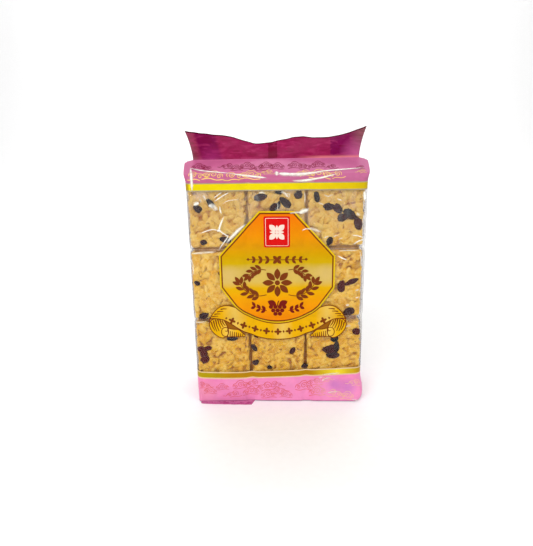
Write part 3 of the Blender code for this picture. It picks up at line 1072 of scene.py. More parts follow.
def strand_points(point, normal, draw, angles, along):
    """Points of one bumpy, slightly bent strand that lies roughly along a face."""
    any_way = np.array([draw.gauss(0, 1) for k in range(3)])
    direction = any_way - normal * np.dot(any_way, normal) * STRAND_LIE
    direction /= np.linalg.norm(direction)
    side = np.cross(direction, normal)
    side /= np.linalg.norm(side)
    up = np.cross(side, direction)
    length = draw.uniform(*STRAND_LENGTHS) / 2
    radius = draw.uniform(*STRAND_RADII)
    bend = draw.uniform(-STRAND_BEND, STRAND_BEND) * length
    wave = draw.uniform(0.0, 2 * math.pi)
    twist = draw.uniform(0.0, 2 * math.pi)
    t = along[:, None]
    a = angles[None, :]
    swell = 1 + LONG_SWELL * np.sin(4.2 * t + wave) + ROUND_SWELL * np.sin(2 * a + twist + 1.5 * t)
    swell = swell + KNOT_SWELL * np.sin(3 * a + 9 * t + wave)
    rim = radius * np.sqrt(np.maximum(1 - np.abs(t) ** STRAND_TAPER, 0.02)) * swell
    spine = point + direction * length * t[..., None] + side * (bend * (t[..., None] ** 2 - 0.3))
    ring = spine + (side * np.cos(a)[..., None] + up * np.sin(a)[..., None]) * rim[..., None]
    poles = [point + direction * length * end + side * bend * 0.7 for end in (-1, 1)]
    return np.concatenate((poles[:1], ring.reshape(-1, 3), poles[1:]))


def array_mesh(name, points, faces, attributes=()):
    """A mesh from arrays: points, faces of three or four corners, and (name, values) by point."""
    mesh = bpy.data.meshes.new(name)
    mesh.vertices.add(len(points))
    mesh.vertices.foreach_set("co", np.ascontiguousarray(points, dtype=np.float32).ravel())
    sizes = np.array([len(face) for face in faces], dtype=np.int32)
    corners = np.concatenate([np.asarray(face, dtype=np.int32) for face in faces])
    mesh.loops.add(len(corners))
    mesh.loops.foreach_set("vertex_index", corners)
    mesh.polygons.add(len(sizes))
    mesh.polygons.foreach_set("loop_start", np.concatenate(([0], np.cumsum(sizes)[:-1])).astype(np.int32))
    mesh.update(calc_edges=True)
    for title, values in attributes:
        layer = mesh.attributes.new(title, "FLOAT", "POINT")
        layer.data.foreach_set("value", np.ascontiguousarray(values, dtype=np.float32))
    return mesh


class Gathered:
    """Shapes that join into one piece: points, faces, and named numbers for each point."""

    def __init__(self, *titles):
        self.points, self.faces, self.total = [], [], 0
        self.values = {title: [] for title in titles}

    def add(self, points, faces, *values):
        """Adds a shape, with an array or one number for each of the names."""
        self.points.append(points)
        self.faces += [face + self.total for face in faces]
        self.total += len(points)
        for kept, numbers in zip(self.values.values(), values):
            kept.append(np.broadcast_to(numbers, len(points)))

    def link(self, name, material, slot, gap=None):
        """Links the piece, kept that far under the film."""
        points = np.concatenate(self.points)
        if gap is not None:
            points = tuck_under(points, gap)
        values = [(title, np.concatenate(kept)) for title, kept in self.values.items()]
        link_piece(name, array_mesh(name, points, self.faces, values), [material])


def dough_material():
    """Fried, syrupy dough: each strand in its own tone, with painted shade where it dips between the others
    and in pits, and greyer towards the top as a painted film reflection.
    """
    material, tree, shader = new_material("fried_dough")
    tones = ((0.0, DOUGH_LIGHT), (0.55, DOUGH_GOLDEN), (1.0, DOUGH_DEEP))
    base = colour_ramp(tree, attribute_value(tree, "tone"), tones)
    height = place_of(tree, "Z")
    shade = ranged(tree, cloud_value(tree, 120.0, 2.0, 1.2), 0.50, 0.64)
    shade = product(tree, shade, ranged(tree, height, 0.050, 0.150, 0.75, 0.15))
    for share, colour in (
        (ranged(tree, cloud_value(tree, 260.0, 5.0, 0.4), 0.42, 0.66, 0.0, 0.8), DOUGH_LIGHT),
        (ranged(tree, cloud_value(tree, 55.0, 3.0, 1.0), 0.50, 0.70, 0.0, 0.65), DOUGH_DEEP),
        (ranged(tree, height, 0.180, 0.060, 0.0, 0.45), DOUGH_LOW),
        # Greyer towards the top: a painted film reflection over the upper rows
        (ranged(tree, height, 0.140, 0.190, 0.0, 0.60), DOUGH_REFLECTION_GREY),
        (shade, DOUGH_SHADE),
        # Darker in the crevices and in spots of pits: painted shade
        (ranged(tree, attribute_value(tree, "depth"), 0.0010, 0.0019), DOUGH_CREVICE_SHADE),
        (ranged(tree, cloud_value(tree, 210.0, 1.0), 0.68, 0.77, 0.0, 0.75), DOUGH_PIT_SHADE),
    ):
        base = mixed(tree, share, base, colour)
    set_inputs(shader, {
        "Base Color": base, "Roughness": 0.45, "Specular IOR Level": 0.3, "Subsurface Weight": 0.12,
        "Subsurface Radius": (0.003, 0.0018, 0.0008), "Subsurface Scale": 1.0,
    })
    add_bump(tree, shader, cloud_value(tree, 520.0, 4.0, 0.3), 0.0004)
    return material


def block_grid(places, shut):
    """Points and faces of a closed box over three lists of places: a shut face is one polygon."""
    sizes = [len(p) for p in places]
    faces = []
    for axis in range(3):
        a, b = [k for k in range(3) if k != axis]
        first, second = np.meshgrid(np.arange(sizes[a]), np.arange(sizes[b]), indexing="ij")
        for end in (0, 1):
            index = [None, None, None]
            index[a], index[b] = first, second
            index[axis] = np.full_like(first, (sizes[axis] - 1) * end)
            key = (index[0] * sizes[1] + index[1]) * sizes[2] + index[2]
            if (axis, end) in shut:
                quads = [np.array([*key[:-1, 0], *key[-1, :-1], *key[:0:-1, -1], *key[0, :0:-1]])]
            else:
                corners = (key[:-1, :-1], key[1:, :-1], key[1:, 1:], key[:-1, 1:])
                quads = list(np.stack(corners, axis=-1).reshape(-1, 4))
            faces += [quad[::-1] for quad in quads] if (axis == 1) != (end == 0) else quads
    used = np.unique(np.concatenate(faces))
    place = {key: k for k, key in enumerate(used)}
    faces = [np.array([place[key] for key in face]) for face in faces]
    i, rest = used // (sizes[1] * sizes[2]), used % (sizes[1] * sizes[2])
    points = np.stack((places[0][i], places[1][rest // sizes[2]], places[2][rest % sizes[2]]), axis=1)
    return points, faces


def from_core(points, half, radius):
    """The nearest points of a rounded box's core, the directions away from it and the distances."""
    core = np.array(half) - radius
    inner = np.clip(points, -core, core)
    length = np.linalg.norm(points - inner, axis=1, keepdims=True)
    return inner, (points - inner) / np.maximum(length, 1e-9), length


def strand_layers(draw):
    """A stretched space and a shift for each set of merged strands in a cake."""
    layers = []
    for way in STRAND_WAYS:
        along = Vector(way).normalized()
        shift = Vector([draw.uniform(-60, 60) for k in range(3)])
        layers.append((along, shift))
    return layers


def dough_height(point, layers):
    """How high the merged strands stand at a point, and the tone of the highest one."""
    spot = point / MM
    spot = spot + noise.noise_vector(spot / WARP_SIZE) * WARP_REACH
    best, tone = 0.0, 0.5
    for along, shift in layers:
        run = spot.dot(along)
        place = (spot - along * run) / STRAND_ACROSS + along * (run / STRAND_ALONG) + shift
        gaps, spots = noise.voronoi(place)
        value = 0.5 + 0.5 * noise.cell(spots[0] * LEVEL_CELLS)
        height = (1 - STRAND_SINK * value) * math.sqrt(max(1 - (gaps[0] / STRAND_SPREAD) ** 2, 0.0))
        if height > best:
            best, tone = height, 0.5 + 0.5 * noise.cell(spots[0] * TONE_CELLS)
    return best, tone


def cake_block(block, draw):
    """Points, faces, tones and depths of one pressed cake."""
    middle, half, row, side = block
    step = BLOCK_STEP if side < 0 else BLOCK_BACK_STEP
    at_edge = abs(middle[0]) > PACK_WIDTH / 4
    outer = np.array(even_places(half[1] - (2 * half[1] if at_edge else EDGE_BAND), half[1], step))
    if not at_edge:
        outer = np.concatenate((np.array(even_places(-half[1], outer[0], 4 * step))[:-1], outer))
    wide, tall = (np.array(even_places(-reach, reach, step)) for reach in (half[0], half[2]))
    points, faces = block_grid([wide, outer if side > 0 else -outer[::-1], tall], {(1, int(side < 0))})
    inner, normals, away = from_core(points, half, CAKE_RADIUS)
    points = inner + normals * CAKE_RADIUS
    layers = strand_layers(draw)
    found = [dough_height(Vector(point), layers) for point in points]
    height = np.array([value[0] for value in found])
    sunk = np.maximum(1 - height, 0.0)
    depth = PRESSED + DOUGH_RELIEF * sunk * sunk / (sunk + PRESS_SHARE)
    points = points - normals * depth[:, None]
    return points + middle, faces, np.array([value[1] for value in found]), depth


def core_colour(tree):
    """The shaded core's colour, paler towards the top."""
    return axis_ramp(tree, "Z", CORE_STOPS)


def make_middles():
    """The shaded core between the cakes, which stops the eye from seeing through the gaps."""
    low = np.array((CAKE_COLUMN_EDGES[0], -CAKE_FACE, CAKE_ROWS[0][0])) + MIDDLE_INSET
    high = np.array((CAKE_COLUMN_EDGES[-1], CAKE_FACE, CAKE_ROWS[-1][1])) - MIDDLE_INSET
    spots, quads = rounded_block((high - low) / 2, MIDDLE_STEP, CAKE_RADIUS)
    core = Gathered()
    core.add(spots + (high + low) / 2 + (0.0, MIDDLE_Y, 0.0), quads)
    shade = ink_material("shaded_dough", core_colour, 0.5, 0.0, 0.2, 0.25, 0.0004)
    core.link("cake_middles", shade, "cake")


def make_cakes():
    """The cakes, one piece for each row, and the looser strands that stand out of them."""
    noise.seed_set(DOUGH_SEED)
    dough = dough_material()
    angles, along, template = strand_template()
    loose = Gathered(*CAKE_VALUES)
    for level in range(len(CAKE_ROWS)):
        draw = random.Random(CAKE_SEED + level)
        pressed = Gathered(*CAKE_VALUES)
        for block in cakes():
            middle, half, row, side = block
            if row != level:
                continue
            pressed.add(*cake_block(block, draw))
            for point, normal in strand_places(block, draw):
                strand, depth = press_into(strand_points(point, normal, draw, angles, along), half)
                loose.add(strand + middle, template, min(max(draw.gauss(*STRAND_TONE), 0.0), 1.0), depth)
        pressed.link(f"cake_row_{level + 1}", dough, "cake", UNDER_FILM["cake"])
    loose.link("dough_strands", dough, "cake", UNDER_FILM["strand"])
    make_middles()


def rounded_block(half, step, radius):
    """Points and faces of a box of that half size, its edges rounded, in a grid of that step."""
    points, faces = block_grid([np.array(even_places(-h, h, step)) for h in half], set())
    inner, normals, away = from_core(points, half, radius)
    return inner + normals * np.minimum(away, radius), faces


# Raisins

# Those of the photograph: column, row, length, width, tilt in degrees, redness
RAISIN_PIXELS = (
    (197.4, 209.2, 8.2, 6.0, -25, 0.1), (210.0, 203.5, 9.5, 4.6, -50, 0.0),
    (203.1, 242.8, 6.4, 5.2, 0, 0.2), (225.3, 240.3, 9.5, 5.4, -10, 0.0),
    (260.3, 197.4, 11.2, 6.4, 12, 0.2), (279.2, 192.4, 6.0, 3.6, 0, 0.0),
    (285.6, 203.1, 11.8, 7.0, -45, 0.1), (298.5, 194.9, 8.8, 6.8, 70, 0.1),
    (274.0, 207.6, 9.0, 6.6, 45, 0.0), (278.8, 205.4, 6.2, 3.2, 85, 0.0),
    (317.0, 197.4, 9.4, 5.0, -85, 0.1), (328.9, 207.0, 10.8, 6.2, 5, 0.1),
    (337.8, 208.9, 9.8, 7.0, -45, 0.1), (342.4, 218.1, 9.0, 7.2, 28, 0.2),
    (349.9, 214.2, 12.2, 7.8, -40, 0.0), (358.6, 223.9, 11.4, 6.6, -78, 0.3),
    (329.9, 241.4, 8.4, 5.4, 70, 0.1), (341.9, 287.1, 11.4, 7.2, 88, 0.8),
    (352.3, 282.3, 12.6, 5.0, 25, 0.6), (349.6, 312.3, 10.8, 7.2, 10, 0.15),
    (194.6, 284.0, 5.4, 4.0, -20, 0.3), (203.9, 316.4, 9.4, 5.6, 17, 0.2),
    (356.0, 332.5, 7.4, 6.6, 15, 0.8), (232.0, 339.3, 9.6, 5.0, 3, 0.1),
    (200.3, 350.0, 7.4, 5.4, -5, 1.0), (207.4, 349.3, 8.4, 5.0, 8, 1.0),
    (203.5, 354.5, 8.4, 7.4, 70, 1.0), (204.8, 360.4, 9.2, 7.4, 50, 1.0),
    (254.3, 348.8, 7.6, 4.8, -55, 0.1), (255.6, 363.3, 6.4, 5.2, 15, 0.2),
    (269.8, 368.3, 4.8, 3.4, 0, 0.1), (292.7, 351.7, 7.6, 4.8, 62, 0.5),
    (256.0, 337.0, 4.6, 2.8, -30, 0.0), (334.8, 339.4, 7.6, 6.8, -75, 0.0),
    (330.6, 350.2, 14.0, 9.8, 14, 0.5), (336.6, 347.4, 10.4, 6.4, 88, 0.1),
    (333.4, 356.0, 12.0, 7.0, 4, 0.2), (304.8, 366.7, 6.4, 4.0, 10, 0.0),
)

# Sizes and wrinkles of raisins, and how many lie on each wall that the photograph hides
RAISIN_PIXEL = 0.00108
RAISIN_WIDTHS = (0.55, 0.72)
RAISIN_THICKNESS = 0.0052
RAISIN_REACH = 0.0735
RAISIN_FACE = 0.0292
RAISIN_PROUD = 0.0011
LUMP_SCALE = 0.9
LUMP_SIZE = 0.22
FOLD_SCALE = 2.3
FOLD_SHARPNESS = 2.2
FOLD_DEPTH = 0.16
WRINKLE_SCALE = 5.0
WRINKLE_SHARPNESS = 2.0
WRINKLE_DEPTH = 0.05
HIDDEN_RAISINS = {"back": 34, "left": 12, "right": 12}
HIDDEN_HEIGHTS = (0.036, 0.202)
HIDDEN_LENGTHS = (0.007, 0.0105)
HIDDEN_EDGES = (0.008, 0.009)
HIDDEN_APART = 0.011
PLACE_SEED = 31
WRINKLE_SEED = 57
RAISIN_TONES = (
    (0.3, srgb(20, 14, 20)), (0.5, srgb(34, 22, 28)), (0.62, srgb(56, 26, 24)), (0.75, srgb(70, 56, 60)),
)
RAISIN_RED = srgb(86, 22, 12)


def raisin_shape(length, width, draw, fine):
    """Points and faces of one wrinkled raisin, its length along x and its thickness along y."""
    mesh = bmesh.new()
    bmesh.ops.create_icosphere(mesh, subdivisions=4 if fine else 3, radius=1.0)
    shift = Vector([draw.uniform(-50, 50) for k in range(3)])
    half = np.array((length, RAISIN_THICKNESS, width)) / 2
    points = []
    for vert in mesh.verts:
        ball = vert.co.copy()
        lump = noise.noise(ball * LUMP_SCALE + shift) * LUMP_SIZE
        fold = 1 - abs(noise.noise(ball * FOLD_SCALE + shift)) * FOLD_SHARPNESS
        wrinkle = 1 - abs(noise.noise(ball * WRINKLE_SCALE + shift)) * WRINKLE_SHARPNESS
        size = 1 + lump - FOLD_DEPTH * max(fold, 0.0) ** 3 - WRINKLE_DEPTH * max(wrinkle, 0.0) ** 2
        points.append(np.array(ball) * size * half)
    mesh.verts.ensure_lookup_table()
    faces = [np.array([vert.index for vert in face.verts]) for face in mesh.faces]
    mesh.free()
    return np.array(points), faces


def raisin_places():
    """(x, z, length, width, tilt, redness, wall) of every raisin: the photograph's and the hidden ones."""
    draw = random.Random(PLACE_SEED)
    places = []
    for px, py, length, width, tilt, red in RAISIN_PIXELS:
        x, z = front_at_pixel(px, py)
        x = min(max(x, -RAISIN_REACH), RAISIN_REACH)
        size = (length * RAISIN_PIXEL, width * RAISIN_PIXEL)
        places.append((x, z, *size, math.radians(tilt), red, "front"))
    for wall, count in HIDDEN_RAISINS.items():
        axis = WALLS[wall][0]
        half = (PACK_DEPTH, PACK_WIDTH)[axis] / 2 - HIDDEN_EDGES[axis]
        made = []
        while len(made) < count:
            spot = (draw.uniform(-half, half), draw.uniform(*HIDDEN_HEIGHTS))
            if all(math.dist(spot, other) > HIDDEN_APART for other in made):
                made.append(spot)
                length = draw.uniform(*HIDDEN_LENGTHS)
                width = length * draw.uniform(*RAISIN_WIDTHS)
                places.append((*spot, length, width, draw.uniform(0, math.pi), draw.random() ** 2, wall))
    return places


def raisin_material():
    """Dark, slightly shiny skin, redder on some raisins."""
    material, tree, shader = new_material("raisin_skin")
    skin = colour_ramp(tree, cloud_value(tree, 90.0, 4.0, 0.5), RAISIN_TONES)
    skin = mixed(tree, ranged(tree, attribute_value(tree, "red"), 0.0, 1.0, 0.0, 0.85), skin, RAISIN_RED)
    set_inputs(shader, {"Base Color": skin, "Roughness": 0.42, "Specular IOR Level": 0.16})
    add_bump(tree, shader, cloud_value(tree, 700.0, 4.0), 0.0003)
    return material


def make_raisins():
    """All the raisins, half sunk in the cakes and pressed flat by the film."""
    draw = random.Random(WRINKLE_SEED)
    raisins = Gathered("red")
    faces = {"left": -CAKE_COLUMN_EDGES[0], "right": CAKE_COLUMN_EDGES[-1]}
    for x, z, length, width, tilt, red, wall in raisin_places():
        shape, triangles = raisin_shape(length, width, draw, wall == "front")
        axis, side = WALLS[wall]
        face = faces.get(wall, RAISIN_FACE)
        out = face - RAISIN_THICKNESS / 2 + RAISIN_PROUD - shape[:, 1]
        over = out - (face - PRESS_DEPTH)
        out = np.where(over > 0, face - PRESS_DEPTH * np.exp(-np.maximum(over, 0) / PRESS_DEPTH), out)
        spots = np.empty_like(shape)
        along = shape[:, 0] * math.cos(tilt) - shape[:, 2] * math.sin(tilt)
        spots[:, 1 - axis] = x + along * (side if axis == 0 else -side)
        spots[:, axis] = side * out
        spots[:, 1] += MIDDLE_Y
        spots[:, 2] = z + (shape[:, 0] * math.sin(tilt) + shape[:, 2] * math.cos(tilt))
        raisins.add(spots, triangles, red)
    raisins.link("raisins", raisin_material(), "raisin", UNDER_FILM["raisin"])


# Print on the film: flat outlines laid on the skin

PRINT_STEP = 0.0013
PRINT_LIFT = 0.00012
PRINT_LAYER = 0.00006
WALL_PROBE = 0.010

# The label, in its own millimetres: x from its middle and v up the film
LABEL_X = -0.5
LABEL_TILT = -0.014
LABEL_TOP = (15.5, 187.5)
LABEL_SIDE = (51.9, 147.3, 117.1)
LABEL_ARC = (54.6, 136.6)
LABEL_ARC_HALF = 39.0
LABEL_ARC_STEPS = 30
SQUARE_V = 168.8
SQUARE = (SQUARE_V, 11.6, 14.1, 1.3)
SQUARE_FRAME = (SQUARE_V, 9.9, 12.4, 0.9)
RULE_V = 143.6
GARLAND_V = 122.0
GRAPES_V = 98.6
WHEAT_EARS = (
    (((10.0, 110.4), (18, 109.4), (28.0, 113.2), (34.0, 121.5)), 5, 7.6, 3.5),
    (((10.0, 134.0), (15, 134.6), (21, 132.6), (25.6, 128.4)), 4, 6.6, 3.2),
)
WHEAT_LEAN = 0.62
WHEAT_OUT = 0.55
RULE_LEAVES = (5.2, 5.0, 4.4)
RULE_STEPS = (7.0, 6.2)
LEAF_LEAN = 0.8
GRAPE_ROWS = (4, 3, 2)
GRAPE_PITCH = (4.1, 3.5)
GRAPE_RADIUS = 2.0
GRAPE_STALK = ((0, 99.5), (0.2, 102.4), (1.1, 104.6))
SPRIG = ((10.0, 94.9), (15.8, 96.5), (21.5, 99.4))
SPRIG_LEAVES = ((11.2, 95.4), (15.8, 96.6), (20.4, 98.8))
SPRIG_PAIR = ((5.4, 2.9, -0.62), (5.0, 2.7, -2.1))
BORDER = 1.4
BORDER_LINE = 1.25
BORDER_LAP = 0.25
PALE_SIDES = (-0.0440, 0.0430)
PALE_SPOTS = tuple(((x, FRONT_Y, 0.1285), 0.012, 0.9, 0.7, srgb(218, 185, 112)) for x in PALE_SIDES)
RIBBON_SHEENS = ((-0.040, 0.012), (0.004, 0.010), (0.045, 0.010))
CURL_SHEENS = ((-0.0465, 0.0080), (0.0465, 0.0080))
FIELD_STOPS = (
    (0.086, srgb(243, 138, 4)), (0.106, srgb(238, 160, 4)), (0.1172, srgb(228, 176, 10)),
    (0.1232, srgb(216, 184, 90)), (0.134, srgb(211, 179, 90)), (0.1403, srgb(208, 170, 22)),
    (0.148, srgb(209, 158, 2)), (0.165, srgb(233, 144, 1)), (0.187, srgb(238, 116, 8)),
)


def wall_place(wall, along, s):
    """The station that far along a wall, as seen from outside, at height s."""
    across = wall in ("front", "back")
    probe = ("front" if across else "right", WALL_PROBE)
    point = (wall_point if s <= SHOULDER_START else roof_point)(probe, s)[0]
    unit = (point.x if across else point.y) / probe[1]
    return wall, (along if wall in ("front", "right") else -along) / unit


def print_piece(name, outlines, layer, material, wall="front"):
    """A thin print of flat (along, s) outlines, anticlockwise seen from outside, laid on a wall."""
    mesh = bmesh.new()
    for points in outlines:
        mesh.faces.new([mesh.verts.new((x, 0.0, s)) for x, s in points])
    bmesh.ops.triangulate(mesh, faces=mesh.faces[:])
    for axis in (0, 2):
        places = [vert.co[axis] for vert in mesh.verts]
        normal = [0, 0, 0]
        normal[axis] = 1
        for k in range(math.ceil(min(places) / PRINT_STEP), math.floor(max(places) / PRINT_STEP) + 1):
            spot = [0, 0, 0]
            spot[axis] = k * PRINT_STEP
            geometry = mesh.verts[:] + mesh.edges[:] + mesh.faces[:]
            bmesh.ops.bisect_plane(mesh, geom=geometry, plane_co=spot, plane_no=normal, dist=1e-7)
    lift = PRINT_LIFT + layer * PRINT_LAYER
    for vert in mesh.verts:
        vert.co = skin_point(wall_place(wall, vert.co.x, vert.co.z), vert.co.z, lift)
    link_piece(name, finished_mesh(mesh, name), [material])


def flowing(points, steps=6, closed=False):
    """A smooth line through points."""
    count = len(points)
    line = []
    for i in range(count if closed else count - 1):
        before = points[i - 1] if closed or i > 0 else points[0]
        after = points[(i + 2) % count] if closed or i + 2 < count else points[-1]
        for k in range(steps):
            t = k / steps
            line.append(tuple(
                0.5 * (2 * b + (c - a) * t + (2 * a - 5 * b + 4 * c - d) * t ** 2
                       + (3 * b - a - 3 * c + d) * t ** 3)
                for a, b, c, d in zip(before, points[i], points[(i + 1) % count], after)
            ))
    if not closed:
        line.append(points[-1])
    return line


def stroke(points, width, closed=False, taper=False):
    """Outlines of a line along points, of that width or thinning out towards its end."""
    count = len(points)
    rails = []
    for i, (x, y) in enumerate(points):
        before = points[i - 1] if closed or i > 0 else points[0]
        after = points[(i + 1) % count] if closed or i + 1 < count else points[-1]
        dx, dy = after[0] - before[0], after[1] - before[1]
        wide = width * (1 - 0.8 * i / count) if taper else width
        share = wide / 2 / (math.hypot(dx, dy) or 1.0)
        rails.append(((x + dy * share, y - dx * share), (x - dy * share, y + dx * share)))
    if closed:
        rails.append(rails[0])
    return [(a, c, d, b) for (a, b), (c, d) in zip(rails, rails[1:])]


def moved(outlines, x=0.0, y=0.0, scale=1.0, angle=0.0, mirror=False):
    """Flat outlines turned, scaled, mirrored and moved, still anticlockwise."""
    cos, sin = math.cos(angle), math.sin(angle)
    flip = -1 if mirror else 1
    made = []
    for points in outlines:
        spots = [
            (x + scale * flip * (px * cos - py * sin), y + scale * (px * sin + py * cos))
            for px, py in points
        ]
        made.append(spots[::-1] if mirror else spots)
    return made


def both_sides(outlines):
    """Outlines with their mirror images."""
    return list(outlines) + moved(outlines, mirror=True)


def petal(length, width, steps=8):
    """A pointed leaf that stands on the origin."""
    rise = [k / steps for k in range(steps + 1)]
    side = [(width / 2 * math.sin(math.pi * t) ** 0.8, length * t) for t in rise]
    return side + [(-x, y) for x, y in reversed(side[1:-1])]


def disc(x, y, radius, sides=12):
    """A round spot."""
    turns = [2 * math.pi * k / sides for k in range(sides)]
    return [(x + radius * math.cos(a), y + radius * math.sin(a)) for a in turns]


def diamond(x, y, width, height):
    """A square spot that stands on its point."""
    return [(x, y - height / 2), (x + width / 2, y), (x, y + height / 2), (x - width / 2, y)]


def inset_outline(points, distance):
    """A convex outline drawn in on all sides by that distance."""
    made = []
    for i, (x, y) in enumerate(points):
        normals = []
        for a, b in ((points[i - 1], (x, y)), ((x, y), points[(i + 1) % len(points)])):
            dx, dy = b[0] - a[0], b[1] - a[1]
            length = math.hypot(dx, dy)
            normals.append((-dy / length, dx / length))
        (ax, ay), (bx, by) = normals
        share = distance / (1 + ax * bx + ay * by)
        made.append((x + (ax + bx) * share, y + (ay + by) * share))
    return made


def ring(points, width):
    """The band just inside a closed outline, as quads."""
    inner = inset_outline(points, width)
    pairs = list(zip(points, inner))
    return [[a, b, d, c] for (a, c), (b, d) in zip(pairs, pairs[1:] + pairs[:1])]


def on_label(outlines):
    """Outlines in the label's millimetres, as (along, s) places on the front."""
    return [[((LABEL_X + u) * MM, (v + LABEL_TILT * u) * MM) for u, v in points] for points in outlines]


def label_outline():
    """The label's eight-sided shape, whose lowest side is an arc."""
    radius, middle = LABEL_ARC
    turn = math.asin(LABEL_ARC_HALF / radius)
    arc = [-turn + 2 * turn * k / LABEL_ARC_STEPS for k in range(LABEL_ARC_STEPS + 1)]
    points = [(radius * math.sin(a), middle - radius * math.cos(a)) for a in arc]
    side, high, low = LABEL_SIDE
    top, height = LABEL_TOP
    return points + [(side, low), (side, high), (top, height), (-top, height), (-side, high), (-side, low)]


def rounded_square(middle_v, half_width, half_height, radius, steps=4):
    """A rounded rectangle in the label's middle."""
    points = []
    for corner, (cx, cy) in enumerate(((1, -1), (1, 1), (-1, 1), (-1, -1))):
        for k in range(steps + 1):
            a = math.pi / 2 * (corner - 1 + k / steps)
            x = cx * (half_width - radius) + radius * math.cos(a)
            points.append((x, middle_v + cy * (half_height - radius) + radius * math.sin(a)))
    return points


def blossom(x, y, petals, length, width, start=0.0, heart=0.0):
    """A flower of pointed petals round a heart."""
    shapes = []
    for k in range(petals):
        turn = start + 2 * math.pi * k / petals
        shapes += moved(moved([petal(length, width)], y=heart * 1.25), x, y, angle=turn)
    if heart:
        shapes.append(disc(x, y, heart))
    return shapes


def wheat_ear(stem, grains, length, width):
    """An ear of grains in pairs along a stem, with one at its tip."""
    line = flowing(stem, 10)
    shapes = stroke(line, 0.7)
    grain = [petal(length, width)]
    for k in range(grains):
        i = round((0.30 + 0.66 * k / (grains - 1)) * (len(line) - 2))
        (x, y), (nx, ny) = line[i], line[i + 1]
        heading = math.atan2(ny - y, nx - x) - math.pi / 2
        for lean in (-WHEAT_LEAN, WHEAT_LEAN):
            out = WHEAT_OUT * math.copysign(1, -lean)
            spot = (x + out * math.cos(heading), y + out * math.sin(heading))
            shapes += moved(grain, *spot, angle=heading + lean)
    (x, y), (nx, ny) = line[-2:]
    return shapes + moved(grain, nx, ny, angle=math.atan2(ny - y, nx - x) - math.pi / 2)


RIBBON_LOWER = (
    (0, 66.2), (8.5, 66.7), (16, 68.2), (24.5, 70.9), (31.5, 74.0), (36.5, 77.0), (42.3, 80.8),
    (48.0, 84.1), (53.0, 86.0), (57.5, 86.6), (61.2, 85.4), (63.4, 82.6),
)
RIBBON_OUTER = (
    (63.4, 82.6), (62.8, 86.2), (60.9, 90.4), (57.6, 95.0), (53.2, 98.6), (48.6, 100.0), (44.2, 99.8),
    (39.6, 98.4),
)
CURL = (
    (50.2, 85.0), (46.8, 78.6), (46.0, 75.4), (46.4, 71.8), (48.4, 69.0), (52.0, 67.7), (56.2, 69.4),
    (60.0, 72.8), (62.6, 77.0), (63.5, 82.0), (61.2, 85.2), (57.5, 86.4), (53.0, 85.8),
)
ROLL = (
    (47.2, 68.9), (51.0, 69.8), (52.6, 73.0), (51.8, 76.6), (49.6, 78.2), (47.0, 77.8), (46.0, 75.9),
    (47.2, 74.6), (49.2, 74.8),
)
TAIL = (
    (46.6, 77.0), (41.0, 76.3), (36.5, 75.9), (33.2, 73.0), (30.5, 69.4), (36.0, 68.8), (42.0, 69.0),
    (47.0, 69.0), (46.2, 72.5),
)
# Shading strokes: the first one's place, how it steps to the left, its height and how that changes
HATCH_DROPS = (8.0, 10.5, 11.0, 9.0, 7.0, 5.0)
FOLD_HATCH = (61.8, 2.0, 82.4, 3.6)
FOOT_HATCH = (44.8, 1.95, 69.1, 5.6, 0.45, 7)
CURL_HATCH = (62.5, 1.5, 0.25, 86.4, 2.5, 5)

# Shade under the fold, the ribbon's colours, and the arc that its marks follow
FOLD_SHADE = ((50.0, 84.9), (44.0, 81.6), (38.0, 78.0), (34.5, 75.6), (41.0, 76.2), (46.6, 77.2))
RIBBON_GOLDS = (srgb(234, 176, 13), srgb(231, 191, 88))
CURL_GOLDS = (srgb(236, 180, 8), srgb(241, 200, 84))
RIBBON_TOP_HALF = 38.6
MARK_STEP = 5.3
MARKS_EACH_WAY = 9
MARK_FOOT = 73.9
MARK_RISE = 16.4
MARK_HALF = 54.0
MARK_TURN = 1.25


def ribbon_top(half_width, steps=24):
    """The ribbon's upper edge, which follows the label's foot, from right to left."""
    radius, middle = LABEL_ARC
    places = [half_width - 2 * half_width * k / steps for k in range(steps + 1)]
    return [(u, middle - math.sqrt(radius ** 2 - u ** 2)) for u in places]


def ribbon_hatch():
    """Shading strokes on the right half: on the fold, under the label's foot and on the curl."""
    hatch = []
    start, step, height, rise = FOLD_HATCH
    for k, drop in enumerate(HATCH_DROPS):
        u, v = start - k * step, height + rise * math.sin(math.pi * (k + 0.6) / 7.2)
        hatch += stroke([(u, v), (u - 1.0, v - drop / 2), (u - 3.0, v - drop)], 1.35, taper=True)
    start, step, v, tall, less, count = FOOT_HATCH
    for k in range(count):
        u = start - k * step
        hatch += stroke([(u, v), (u - 0.4, v + (tall - k * less))], 0.95, taper=True)
    start, step, more, height, rise, count = CURL_HATCH
    for k in range(count):
        u, v = start - k * step - k * k * more, height + k * rise
        hatch += stroke([(u, v), (u - 2.6, v + 0.5), (u - 5.6, v + 0.4)], 1.25, taper=True)
    return hatch


def ribbon_marks():
    """Small blossoms and diamonds in turn along the ribbon's middle."""
    marks = []
    full = 1 - math.cos(MARK_TURN)
    for k in range(-MARKS_EACH_WAY, MARKS_EACH_WAY + 1):
        u = k * MARK_STEP
        turn = u / MARK_HALF * MARK_TURN
        v = MARK_FOOT + MARK_RISE * (1 - math.cos(turn)) / full
        tilt = math.atan2(MARK_RISE * math.sin(turn) * MARK_TURN / MARK_HALF, full)
        spot = blossom(0, 0, 4, 3.6, 2.3) if k % 2 == 0 else [diamond(0, 0, 2.0, 3.0)]
        marks += moved(spot, u, v, angle=tilt)
    return marks


def sheened(tree, gold, pale, sheens):
    """Gold with a paler band at each of those places along X."""
    across = place_of(tree, "X")
    base = gold
    for place, reach in sheens:
        base = mixed(tree, band_share(tree, across, place - reach, place + reach, reach), base, pale)
    return base


def field_colour(tree):
    """The label's field: orange to gold and back down its height, paler at both sides of its middle."""
    return with_spots(tree, axis_ramp(tree, "Z", FIELD_STOPS), PALE_SPOTS)


